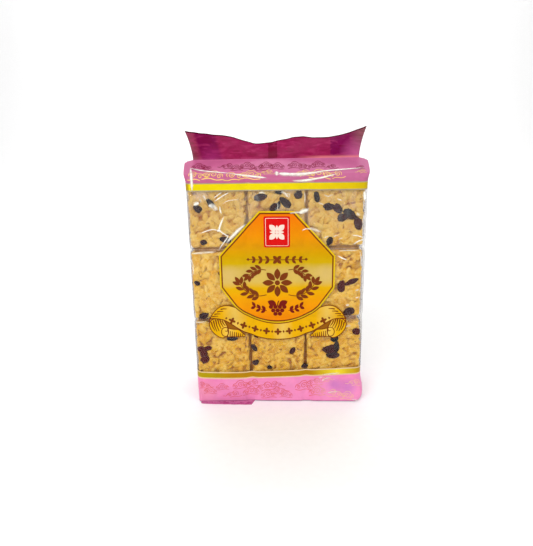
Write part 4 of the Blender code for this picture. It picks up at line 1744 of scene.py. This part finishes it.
def label_inks():
    """The label's and ribbon's inks, by name."""
    ribbon = {"roughness": 0.3, "shine": 0.06}
    return {
        "yellow": ink_material("label_yellow", srgb(230, 192, 26)),
        "brown": ink_material("label_brown", srgb(124, 58, 14), 0.35),
        "field": ink_material("label_field", field_colour, shine=0.05, mottle=0.03),
        "red": ink_material("label_red", srgb(216, 14, 16)),
        "cream": ink_material("label_cream", srgb(246, 222, 206), 0.35),
        "dark_red": ink_material("label_dark_red", srgb(120, 30, 16), 0.35),
        "ribbon": ink_material("ribbon_gold", lambda t: sheened(t, *RIBBON_GOLDS, RIBBON_SHEENS), **ribbon),
        "curl": ink_material("ribbon_back", lambda t: sheened(t, *CURL_GOLDS, CURL_SHEENS), **ribbon),
        "shade": ink_material("ribbon_shade", srgb(150, 92, 16), 0.35),
    }


def square_flower():
    """A thin frame with a four-petal blossom, on the red square."""
    thin_frame = stroke(rounded_square(*SQUARE_FRAME), 0.45, True)
    outer = blossom(0, SQUARE_V, 4, 7.6, 5.0, math.pi / 4, 1.3)
    return thin_frame + outer + blossom(0, SQUARE_V, 4, 6.4, 2.2)


def garland_and_rule():
    """A blossom between ears of grain, and a rule of leaves above it."""
    shapes = blossom(0, GARLAND_V, 8, 10.6, 5.6, heart=2.4)
    for ear in WHEAT_EARS:
        shapes += both_sides(wheat_ear(*ear))
    shapes += both_sides(stroke([(2.6, RULE_V), (25.0, RULE_V)], 0.7))
    shapes += blossom(0, RULE_V, 4, 5.0, 3.2, math.pi / 4)
    start, step = RULE_STEPS
    for k, size in enumerate(RULE_LEAVES):
        for angle in (-LEAF_LEAN, -math.pi + LEAF_LEAN):
            shapes += both_sides(moved([petal(size, 2.5)], start + step * k, RULE_V, angle=angle))
    return shapes + both_sides([diamond(26.0, RULE_V, 3.0, 3.0)])


def grapes_and_sprigs():
    """A bunch of grapes between two sprigs of leaves."""
    across, down = GRAPE_PITCH
    shapes = [
        disc((k - (count - 1) / 2) * across, GRAPES_V - row * down, GRAPE_RADIUS)
        for row, count in enumerate(GRAPE_ROWS) for k in range(count)
    ]
    shapes += both_sides(moved([petal(8.6, 5.6)], 1.2, 100.6, angle=-1.15))
    shapes += stroke(GRAPE_STALK, 1.0)
    for u, v in SPRIG_LEAVES:
        pair = []
        for length, width, angle in SPRIG_PAIR:
            pair += moved([petal(length, width)], u, v, angle=angle)
        shapes += both_sides(pair)
    return shapes + both_sides(stroke(SPRIG, 0.6))


def make_ribbon(ink):
    """The ribbon under the label: a band with rolled ends and tails, its lines, shading and marks."""
    right = flowing(RIBBON_LOWER, 4) + flowing(RIBBON_OUTER, 4)[1:]
    left = [(-u, v) for u, v in reversed(right)]
    band = right + ribbon_top(RIBBON_TOP_HALF) + left[:-1]
    curl, tail = flowing(CURL, 4, True), flowing(TAIL, 3, True)
    ends = stroke(curl, 0.8, True) + stroke(tail, 0.75, True) + stroke(flowing(ROLL, 4), 0.75)
    for name, outlines, layer, colour in (
        ("ribbon_shade", both_sides([list(FOLD_SHADE)]), 3, "shade"),
        ("ribbon_curls", both_sides([curl, tail]), 4, "curl"),
        ("ribbon_band", [band], 5, "ribbon"),
        ("ribbon_lines", stroke(band, 0.85, True) + both_sides(ends), 6, "brown"),
        ("ribbon_hatch", both_sides(ribbon_hatch()), 6.5, "brown"),
        ("ribbon_marks", ribbon_marks(), 6.5, "brown"),
    ):
        print_piece(name, on_label(outlines), layer, ink[colour])


def make_label():
    """The label on the front: bordered field, flower square, garland, grapes and ribbon."""
    ink = label_inks()
    shape = label_outline()
    for layer, (name, outlines, colour) in enumerate((
        ("label_edge", ring(shape, BORDER + BORDER_LAP), "yellow"),
        ("label_line", ring(inset_outline(shape, BORDER), BORDER_LINE + BORDER_LAP), "brown"),
        ("label_field", [inset_outline(shape, BORDER + BORDER_LINE)], "field"),
        ("label_square", [rounded_square(*SQUARE)], "red"),
        ("label_flower", square_flower(), "cream"),
        ("label_garland", garland_and_rule(), "brown"),
        ("label_grapes", grapes_and_sprigs(), "dark_red"),
    )):
        print_piece(name, on_label(outlines), min(layer, 4), ink[colour])
    make_ribbon(ink)


# Cloud scrolls

CLOUD_STRETCH = {"roof": 1.5, "band": 1.25}

# Where the scrolls are, as (along, s, size, mirrored, kind) in millimetres
BAND_CLOUDS = (
    (-69.0, 219.8, 1.9, False, 1), (-54.5, 221.0, 2.0, True, 0), (-36.0, 219.8, 2.0, False, 1),
    (-22.5, 221.4, 2.1, True, 0), (-8.5, 225.0, 1.4, True, 1), (22.5, 222.6, 1.7, True, 1),
    (36.5, 221.0, 2.1, False, 0), (50.0, 219.0, 1.6, True, 1), (73.0, 222.2, 1.0, True, 1),
)
ROOF_CLOUDS = (
    (-68.0, 235.6, 1.45, False, 0), (-61.0, 232.4, 1.10, True, 1), (-43.5, 236.2, 1.35, True, 1),
    (-35.0, 233.4, 1.25, False, 0), (-25.5, 237.0, 1.45, False, 0), (-15.5, 232.6, 1.40, True, 1),
    (-9.0, 237.6, 1.30, False, 0), (1.0, 235.6, 1.40, True, 0), (16.5, 236.8, 1.45, True, 0),
    (26.5, 233.8, 1.35, False, 1), (37.0, 237.2, 1.35, True, 0), (48.0, 232.4, 1.10, True, 1),
    (72.5, 229.0, 1.00, True, 1),
)
LOW_CLOUDS = (
    (-72.0, 18.2, 1.5, False, 1), (-66.5, 12.4, 1.4, True, 0), (-55.0, 17.0, 1.4, False, 0),
    (-45.0, 8.2, 1.6, True, 1), (-37.0, 19.0, 1.8, False, 0), (-25.5, 20.4, 1.5, True, 1),
    (-27.0, 11.4, 1.8, True, 0), (-14.0, 16.2, 2.0, True, 1), (-10.5, 7.6, 1.7, False, 0),
    (-2.0, 18.4, 1.4, False, 1), (0.5, 11.6, 1.6, False, 1), (7.0, 7.4, 1.4, True, 0),
    (24.0, 15.4, 1.9, False, 0), (34.0, 19.4, 1.6, True, 1), (37.0, 10.0, 1.8, True, 0),
    (45.5, 21.6, 1.3, False, 1), (54.0, 7.6, 1.5, False, 1), (64.5, 5.4, 1.4, True, 0),
    (71.5, 17.0, 1.4, True, 1),
)

# Where the lower scrolls start to glow, how far scrolls reach on each kind of wall, and their sway
CLOUD_GLOW = (0.030, 0.052)
CLOUD_EDGES = (27.0, 77.0)
CLOUD_SWAY = 0.09
BACK_CLOUD_SHARE = 0.93
SIDE_CLOUD_HALF = {"low": 22, "band": 20}
SIDE_CLOUD_WIDTH = {"low": 0.30, "band": 0.33}

# Lines of the two scrolls: spirals as (x, y, radius, turns, start, way), then the crest and the wave
SCROLL_SPIRALS = (
    ((0.0, 0.3, 1.75, 1.55, -0.6, 1), (-2.7, -0.6, 1.05, 1.3, 2.6, -1), (2.8, -0.5, 1.15, 1.35, 0.4, 1)),
    ((-1.4, 0.5, 1.45, 1.6, 1.2, -1), (1.9, -0.4, 1.05, 1.3, 0.2, 1)),
)
SCROLL_WAVES = (
    (
        ((-4.2, -0.8), (-3.9, 0.6), (-2.8, 1.2), (-2.1, 1.6), (-1.4, 2.5), (0.0, 2.9), (1.4, 2.4),
         (2.1, 1.4), (3.2, 1.2), (4.1, 0.4), (4.5, -0.6)),
        ((-4.2, -1.9), (-1.6, -2.2), (1.4, -1.7), (4.6, -2.3)),
    ),
    (
        ((-3.2, -0.4), (-3.3, 1.2), (-2.2, 2.4), (-0.6, 2.3), (0.4, 1.2), (1.8, 1.3), (3.0, 0.6),
         (4.2, -0.8), (6.0, -0.6)),
        ((-5.4, -1.3), (-3.2, -1.9), (-0.6, -1.5), (1.8, -2.1)),
    ),
)


def spiral(x, y, radius, turns, start, way):
    """A line that winds in from a circle."""
    count = round(turns * 14)
    shrink = [radius * (1 - 0.82 * k / count) for k in range(count + 1)]
    turn = [start + way * 2 * math.pi * turns * k / count for k in range(count + 1)]
    return [(x + r * math.cos(a), y + r * math.sin(a)) for r, a in zip(shrink, turn)]


def cloud_lines(width, kind):
    """A cloud scroll: two or three spirals under a lobed crest, over a short wave."""
    lines = [spiral(*numbers) for numbers in SCROLL_SPIRALS[kind]]
    lines += [flowing(points, 4) for points in SCROLL_WAVES[kind]]
    return [quad for line in lines for quad in stroke(line, width)]


def cloud_piece(name, places, colour, width, wall="front", stretch=1.0):
    """The scrolls of one band on one wall, drawn out up the slope where they lie on the roof."""
    edge = CLOUD_EDGES[WALLS[wall][0]]
    outlines = []
    for x, s, size, mirror, kind in places:
        lines = [[(a, b * stretch) for a, b in quad] for quad in cloud_lines(width, kind)]
        scroll = moved(lines, x, s, size, angle=CLOUD_SWAY * math.sin(x), mirror=mirror)
        outlines += [quad for quad in scroll if all(abs(px) < edge for px, py in quad)]
    scaled = [[(x * MM, s * MM) for x, s in quad] for quad in outlines]
    print_piece(name, scaled, 0, colour, wall)


def low_cloud_colour(tree):
    """Salmon scrolls that catch the light towards the right."""
    glow = ranged(tree, place_of(tree, "X"), *CLOUD_GLOW, 0.0, 0.8)
    return mixed(tree, glow, srgb(228, 104, 104), srgb(252, 206, 168))


def make_clouds():
    """Gold scrolls on the upper band, dark ones on the roof and faint ones on the lower band."""
    gold = ink_material("cloud_gold", srgb(252, 214, 108), 0.3, 0.1)
    dark = ink_material("cloud_dark", srgb(134, 30, 52), 0.35, shine=0.04)
    salmon = ink_material("cloud_salmon", low_cloud_colour, 0.35)
    bands = {
        "band": (BAND_CLOUDS, gold, 0.26), "roof": (ROOF_CLOUDS, dark, 0.34),
        "low": (LOW_CLOUDS, salmon, 0.29),
    }
    for wall in ("front", "back"):
        for name, (places, colour, width) in bands.items():
            if wall == "back":
                places = [(-x * BACK_CLOUD_SHARE, *rest) for x, *rest in places]
            cloud_piece(f"{name}_clouds_{wall}", places, colour, width, wall, CLOUD_STRETCH.get(name, 1.0))
    for wall in ("left", "right"):
        for name, half in SIDE_CLOUD_HALF.items():
            places, colour, width = bands[name]
            side = [place for place in places if abs(place[0]) < half]
            cloud_piece(f"{name}_clouds_{wall}", side, colour, SIDE_CLOUD_WIDTH[name], wall)


# The back seam and the bottom seal's flap

SEAM_EDGES = (-0.0075, 0.0015)
SEAM_RISE = (0.10, 0.62, 0.74, 0.78, 0.80, 0.78, 0.70, 0.10)
SEAM_WANDER = ((0.0003, 130, 0), (0.0002, 410, 1))
FLAP_FROM_X = -0.0760
FLAP_TO_X = -0.0235
FLAP_THICKNESS = 0.0007
FLAP_REACH_NARROW = 0.0018
FLAP_REACH_WIDE = 0.0060
FLAP_RIDGES = 4
FLAP_RIDGE_HEIGHT = 0.00025
FLAP_STREAKS = (260.0, 620.0, 60.0)
FLAP_COLUMNS = 90
FLAP_ROWS = 26
FLAP_SLANT = 0.0034
FLAP_ROOT = 0.0020
FLAP_WAVE = (0.0002, 31)
FLAP_ENDS = (8, 20)
FLAP_THIN_SHARE = 0.55
FLAP_FLOOR = 0.00005
FLAP_SHARP = math.radians(60)
# Pink and the darker pink streaked along the flap's ridges as painted shade
FLAP_PINKS = (srgb(210, 118, 164), srgb(172, 66, 116))
FLAP_EDGE_PINK = srgb(190, 84, 140)
FLAP_EDGE_REACH = 0.0045


def make_seam(materials):
    """The lapped seam that runs up the back, in the colours of the film's zones."""
    low, high = SEAM_EDGES
    across = [high + (low - high) * k / (len(SEAM_RISE) - 1) for k in range(len(SEAM_RISE))]
    mesh = bmesh.new()
    rows = []
    heights = [(s, zone) for s, zone in film_heights() if s >= BOTTOM_EDGE]
    for s, zone in heights:
        wander = sum(size * math.sin(s * rate + start) for size, rate, start in SEAM_WANDER)
        places = [wall_place("back", -(x + wander), s) for x in across]
        points = [skin_point(place, s, rise * MM) for place, rise in zip(places, SEAM_RISE)]
        rows.append([mesh.verts.new(point) for point in points])
    join_rows(mesh, rows, [zone for s, zone in heights], list(materials))
    data = finished_mesh(mesh, "back_seam")
    link_piece("back_seam", data, materials.values(), smooth=False)


def flap_colour(tree):
    """Pink, streaked darker along the seal's ridges as painted shade."""
    base = mixed(tree, ranged(tree, streaks(tree, FLAP_STREAKS), 0.45, 0.62), *FLAP_PINKS)
    edge = ranged(tree, place_of(tree, "Y"), FRONT_Y, FRONT_Y - FLAP_EDGE_REACH, 0.0, 0.6)
    return mixed(tree, edge, base, FLAP_EDGE_PINK)


def flap_point(t, out):
    """A point of the flap's top: t runs from its left to its right end, out from the pack to its edge."""
    size, waves = FLAP_WAVE
    reach = FLAP_REACH_NARROW + (FLAP_REACH_WIDE - FLAP_REACH_NARROW) * math.sqrt(t)
    edge = reach + size * math.sin(t * waves) * t
    x = FLAP_FROM_X + (FLAP_TO_X - FLAP_FROM_X - FLAP_SLANT * out) * t
    y = FRONT_Y + FLAP_ROOT - (edge + FLAP_ROOT) * out
    ridge = FLAP_RIDGE_HEIGHT * math.sin(2 * math.pi * FLAP_RIDGES * out)
    rim, end = FLAP_ENDS
    ends = min(1.0, (1 - out) * rim, t * end, (1 - t) * end)
    return x, y, FLAP_THICKNESS * (FLAP_THIN_SHARE + (1 - FLAP_THIN_SHARE) * ends) + ridge * ends


def make_flap():
    """The end of the bottom seal, ridged, which lies flat under the front's left half."""
    mesh = bmesh.new()
    top, bottom = [], []
    for i in range(FLAP_COLUMNS + 1):
        points = [flap_point(i / FLAP_COLUMNS, j / FLAP_ROWS) for j in range(FLAP_ROWS + 1)]
        pairs = [(mesh.verts.new(p), mesh.verts.new((p[0], p[1], FLAP_FLOOR))) for p in points]
        top.append([pair[0] for pair in pairs])
        bottom.append([pair[1] for pair in pairs])
    for i in range(FLAP_COLUMNS):
        for j in range(FLAP_ROWS):
            mesh.faces.new((top[i][j], top[i][j + 1], top[i + 1][j + 1], top[i + 1][j]))
            mesh.faces.new((bottom[i][j], bottom[i + 1][j], bottom[i + 1][j + 1], bottom[i][j + 1]))
        for j, way in ((0, 1), (FLAP_ROWS, -1)):
            mesh.faces.new((top[i][j], top[i + 1][j], bottom[i + 1][j], bottom[i][j])[::way])
    for i, way in ((0, -1), (FLAP_COLUMNS, 1)):
        for j in range(FLAP_ROWS):
            mesh.faces.new((top[i][j], top[i][j + 1], bottom[i][j + 1], bottom[i][j])[::way])
    bmesh.ops.recalc_face_normals(mesh, faces=mesh.faces[:])
    data = finished_mesh(mesh, "bottom_flap")
    data.shade_smooth()
    data.set_sharp_from_angle(angle=FLAP_SHARP)
    ink = ink_material("flap_ink", flap_colour, mottle=0.10)
    link_piece("bottom_flap", data, [ink], smooth=False)


# Creases of the film, whitened as painted highlights: width in millimetres, and pixels of the photograph

CREASES = {
    "glint": (
        (2.9, (189.0, 168.2), (202.0, 171.0), (218.0, 172.6), (232.0, 173.8)),
        (3.4, (228.0, 173.4), (242.0, 175.4), (256.0, 176.9), (267.0, 178.0)),
        (7.0, (279.0, 173.6), (292.0, 174.4), (306.0, 173.8), (324.0, 171.6)),
        (3.4, (312.0, 172.8), (328.0, 170.8), (345.0, 169.4), (364.0, 167.8)),
        (2.8, (292.0, 180.4), (306.0, 179.9), (322.0, 177.6), (338.0, 173.8)),
        (4.8, (276.6, 171.6), (276.8, 175.8)), (8.0, (278.9, 173.6), (284.0, 174.0), (291.0, 174.3)),
        (3.4, (190.6, 168.6), (191.4, 178.0), (192.0, 191.0)),
        (1.3, (221.8, 192.2), (218.0, 194.8), (213.8, 198.2)),
        (1.5, (228.9, 192.4), (221.5, 196.6), (214.4, 201.6)),
        (4.4, (193.6, 205.2), (196.4, 203.6), (199.0, 203.0)), (2.8, (208.6, 205.4), (211.4, 206.2)),
        (2.0, (219.8, 206.4), (220.2, 210.0), (221.4, 213.8)),
        (2.4, (223.9, 216.5), (221.2, 222.5), (219.6, 227.5), (218.8, 231.0)),
        (1.6, (219.0, 230.6), (213.0, 229.5), (206.5, 231.0), (200.2, 233.4)),
        (1.9, (218.2, 229.6), (222.5, 232.8), (228.8, 236.8)),
        (3.4, (217.0, 231.4), (219.0, 230.4), (221.0, 231.6)),
        (1.6, (228.4, 234.8), (226.5, 239.0), (222.0, 245.0), (219.0, 250.0)),
        (4.0, (245.6, 224.2), (239.0, 229.5), (232.0, 236.5), (226.3, 243.2)),
        (5.6, (299.0, 213.0), (303.0, 211.2), (308.6, 209.4)),
        (3.6, (364.2, 191.0), (364.7, 195.5), (364.4, 200.6)),
        (1.4, (352.2, 235.2), (357.5, 235.6), (364.0, 237.8)),
        (1.7, (353.2, 244.4), (358.0, 241.2), (364.4, 238.8)),
        (1.6, (302.0, 230.4), (306.0, 228.8), (312.0, 229.2)),
        (1.6, (337.2, 255.2), (342.5, 258.2), (347.0, 259.8)),
    ),
    # Fainter painted highlights, in wider and softer patches
    "haze_and_sheen": (
        (1.6, (199.4, 198.8), (201.6, 202.6)), (3.2, (203.4, 195.2), (205.6, 199.8)),
        (6.5, (208.4, 204.6), (213.0, 206.4), (217.2, 210.4)),
        (1.4, (222.2, 204.6), (226.0, 201.6), (230.3, 200.3), (235.0, 199.8), (239.8, 199.2)),
        (2.6, (258.2, 193.4), (262.0, 192.4), (265.4, 193.8)),
        (3.4, (280.8, 191.8), (284.4, 193.0), (288.8, 197.6)),
        (1.4, (286.6, 193.2), (289.6, 194.4), (289.4, 197.0)),
        (1.5, (304.2, 191.2), (305.0, 197.0), (304.6, 203.2)),
        (1.1, (277.4, 203.2), (277.8, 206.4), (276.8, 210.2)),
        (2.2, (289.6, 213.2), (296.0, 212.4), (302.0, 212.0)),
        (1.6, (323.6, 194.4), (328.0, 196.2), (333.2, 194.2)), (2.0, (337.2, 198.8), (342.0, 200.4)),
        (1.6, (318.2, 202.4), (323.6, 204.6)), (4.0, (356.4, 212.8), (359.8, 215.2)),
        (3.0, (363.4, 215.2), (364.8, 219.6)), (3.6, (309.4, 227.6), (315.0, 229.8), (321.4, 232.0)),
        (1.6, (323.6, 237.8), (328.8, 236.0)), (1.5, (333.2, 236.8), (338.4, 234.8)),
        (1.4, (338.4, 239.2), (342.8, 237.6)), (1.3, (360.0, 251.4), (360.8, 258.0), (361.0, 264.4)),
        (2.2, (355.2, 290.4), (358.8, 289.4)), (2.2, (355.4, 298.0), (358.6, 296.8)),
        (3.0, (345.6, 305.4), (349.4, 304.6)), (2.6, (345.8, 326.4), (350.4, 325.2)),
        (1.3, (190.0, 258.0), (193.4, 266.0), (193.0, 276.0)),
        (1.8, (190.6, 321.0), (198.0, 322.2), (206.0, 321.4)),
        (2.9, (191.0, 253.6), (203.0, 252.6), (216.0, 251.8)),
        (1.3, (338.0, 250.9), (348.0, 250.3), (358.0, 250.6)),
        (1.6, (327.0, 392.6), (332.0, 391.8), (337.5, 391.4)),
        (1.6, (351.0, 398.6), (355.0, 399.8), (359.0, 400.0)),
        (2.0, (322.0, 374.4), (330.0, 373.6), (340.0, 372.6)),
        (2.4, (322.0, 380.8), (325.0, 378.6), (330.0, 377.4)),
        (1.4, (318.5, 377.8), (321.0, 377.0), (323.0, 376.8)),
    ),
}
CREASE_HEIGHT = 0.00035
CREASE_STEPS = 8
CREASE_LIFT = 0.00012
CREASE_RAILS = ((-1.0, 0.0), (-0.7, 0.3), (-0.35, 0.8), (0.0, 1.0), (0.35, 0.8), (0.7, 0.3), (1.0, 0.0))
CREASE_SWELL_POWER = 0.6
CREASE_BODY = 1.3
CREASE_SHARES = {"glint": 0.95, "haze_and_sheen": 0.60}
# The white of the painted highlights on the creases
CREASE_HIGHLIGHT_WHITE = (0.93, 0.91, 0.82, 1.0)


def pixel_of(point):
    """Where a point falls in the photograph."""
    right, up, forward = camera_axes()
    away = Vector(point) - Vector(CAMERA_PLACE)
    scale = FOCAL_PIXELS / away.dot(forward)
    return IMAGE_WIDTH / 2 + away.dot(right) * scale, IMAGE_HEIGHT / 2 - away.dot(up) * scale, scale


def skin_at_pixel(px, py):
    """x and s of the film's front or roof behind a pixel of the photograph."""
    low, high = 0.0, ROOF_END
    x = 0.0
    for step in range(40):
        s = (low + high) / 2
        for again in range(2):
            point = skin_point(wall_place("front", x, s), s)
            column, row, scale = pixel_of(point)
            x = min(max(x + (px - column) / scale, -PACK_WIDTH / 2), PACK_WIDTH / 2)
        if row > py:
            low = s
        else:
            high = s
    return x, s


def crease(width, pixels):
    """Points, faces and body of one raised fold, wide in its middle and pointed at its ends."""
    line = flowing([skin_at_pixel(px, py) for px, py in pixels], CREASE_STEPS)
    points, bodies = [], []
    for i, (x, s) in enumerate(line):
        ax, ay = line[max(i - 1, 0)]
        bx, by = line[min(i + 1, len(line) - 1)]
        length = math.hypot(bx - ax, by - ay)
        nx, ny = -(by - ay) / length, (bx - ax) / length
        swell = math.sin(math.pi * (i + 0.35) / (len(line) - 0.3)) ** CREASE_SWELL_POWER
        for rail, rise in CREASE_RAILS:
            reach = rail * width * MM / 2 * swell
            height = max(s + ny * reach, BOTTOM_EDGE)
            lift = PRINT_LIFT + CREASE_LIFT + CREASE_HEIGHT * rise * swell
            points.append(skin_point(wall_place("front", x + nx * reach, height), height, lift)[:])
            bodies.append(rise * min(swell * CREASE_BODY, 1.0))
    return np.array(points), sheet_faces(len(line) - 1, len(CREASE_RAILS) - 1, True), bodies


def crease_material(name, share):
    """Painted white highlight in patches, clear towards the fold's edges."""
    material, tree, shader = new_material(name)
    patches = ranged(tree, cloud_value(tree, 260.0, 4.0, 0.5), 0.35, 0.65, share - 0.25, share + 0.05)
    body = product(tree, patches, attribute_value(tree, "body"))
    set_inputs(shader, {"Base Color": CREASE_HIGHLIGHT_WHITE, "Roughness": 0.15, "Alpha": body})
    return material


def make_creases():
    """Thin raised folds of the film, whitened as painted highlights: bright glints and fainter ones."""
    for kind, creases in CREASES.items():
        folds = Gathered("body")
        for width, *pixels in creases:
            folds.add(*crease(width, pixels))
        folds.link(f"film_{kind}", crease_material(f"film_{kind}", CREASE_SHARES[kind]), "film")


# Each cake's own wrapper

WRAP_PROUD = 0.00035
WRAP_STEP = 0.0026
WRAP_CRINKLE = 0.00022
WRAP_RADIUS_SHARE = 0.85
WRAP_SCALES = (95, 260)
SEAL_SEED = 71
SEAL_INSET = 0.0022
SEAL_TILT = 0.012
SEAL_SHIFT = 0.0008
SEAL_LEVELS = 6
SEAL_SINK = 0.0003
SEAL_CURL = 0.0006
SEAL_HEIGHTS = (0.0078, 0.0018)
SEAL_RIB = 0.0011
SEAL_RIB_DEPTH = 0.00022
FOLD_STEP = 0.0012
FOLD_COLUMNS = 5
FOLD_REACH = 0.0024
FOLD_LAP = 0.0008
FOLD_SINK = 0.0012
FOLD_BACK = 0.0040
FOLD_CRUMPLES = (0.0006, 0.0016)
FOLD_SCALES = (1.4, 160, 5.0)


def crinkle(point):
    """How far a wrapper's crinkles stand out at a point."""
    coarse, fine = (noise.noise(Vector(point) * scale) for scale in WRAP_SCALES)
    return (1 - 2 * abs(coarse)) * WRAP_CRINKLE + fine * WRAP_CRINKLE * 0.5


def crimped_end(left, right, height, tall, tilt, side):
    """Points and faces of a wrapper's ribbed end, in the gap between two rows."""
    low, high = left + SEAL_INSET, right - SEAL_INSET
    across = round((high - low) / SEAL_RIB) * 4
    points = []
    for i in range(across + 1):
        x = low + (high - low) * i / across
        wave = math.sin(2 * math.pi * (x - low) / SEAL_RIB)
        for j in range(SEAL_LEVELS + 1):
            up = j / SEAL_LEVELS - 0.5
            rib = wave * SEAL_RIB_DEPTH + SEAL_CURL * (abs(up) * 2) ** 2
            z = height + up * tall + tilt * (x - (left + right) / 2)
            points.append((x, MIDDLE_Y + side * (CAKE_FACE - SEAL_SINK - rib), z))
    return np.array(points), sheet_faces(across, SEAL_LEVELS, side > 0)


def folded_end(low, high, side):
    """Points and faces of the crumpled wrapper ends at the right of one row."""
    levels = round((high - low) / FOLD_STEP)
    out, back = FOLD_CRUMPLES
    points = []
    for i in range(FOLD_COLUMNS + 1):
        across = i / FOLD_COLUMNS
        for j in range(levels + 1):
            z = low + (high - low) * j / levels
            place = [size * scale for size, scale in zip((across, z, side), FOLD_SCALES)]
            crumple = noise.noise(Vector(place))
            x = CAKE_COLUMN_EDGES[-1] - FOLD_LAP + (FOLD_REACH + crumple * out) * across
            y = MIDDLE_Y + side * (CAKE_FACE - FOLD_SINK - FOLD_BACK * across + crumple * back)
            points.append((x, y, z))
    return np.array(points), sheet_faces(FOLD_COLUMNS, levels, side > 0)


def make_wrappers():
    """The clear wrapper of each cake, crinkled, and its crimped ends in the gaps between the rows."""
    wrappers = Gathered()
    for middle, half, row, side in cakes():
        spots, quads = rounded_block(half + WRAP_PROUD, WRAP_STEP, CAKE_RADIUS * WRAP_RADIUS_SHARE)
        out = spots / np.linalg.norm(spots, axis=1, keepdims=True)
        rise = np.array([crinkle(spot + middle) for spot in spots])
        wrappers.add(spots + out * rise[:, None] + middle, quads)
    clear = clear_film_material("wrapper_film", (0.01, 0.4), 0.12, 0.0005, 150.0, 0.015)
    wrappers.link("cake_wrappers", clear, "film", UNDER_FILM["wrapper"])
    seals = Gathered()
    draw = random.Random(SEAL_SEED)
    for height, tall in zip(ROW_FURROWS, SEAL_HEIGHTS):
        for left, right in zip(CAKE_COLUMN_EDGES, CAKE_COLUMN_EDGES[1:]):
            for side in (-1, 1):
                tilt = draw.uniform(-SEAL_TILT, SEAL_TILT)
                shift = draw.uniform(-SEAL_SHIFT, SEAL_SHIFT)
                seals.add(*crimped_end(left, right, height + shift, tall, tilt, side))
    for low, high in CAKE_ROWS:
        for side in (-1, 1):
            seals.add(*folded_end(low, high, side))
    film = clear_film_material("wrapper_seal", (0.03, 0.5), 0.15, 0.0004, 200.0, 0.15)
    seals.link("wrapper_seals", film, "film", UNDER_FILM["seal"])


FILM_DEPTHS = film_depths()
make_camera()
make_light()
make_floor()
inks = film_materials()
make_film(inks)
make_seam(inks)
make_flap()
make_cakes()
make_raisins()
make_wrappers()
make_label()
make_clouds()
make_creases()
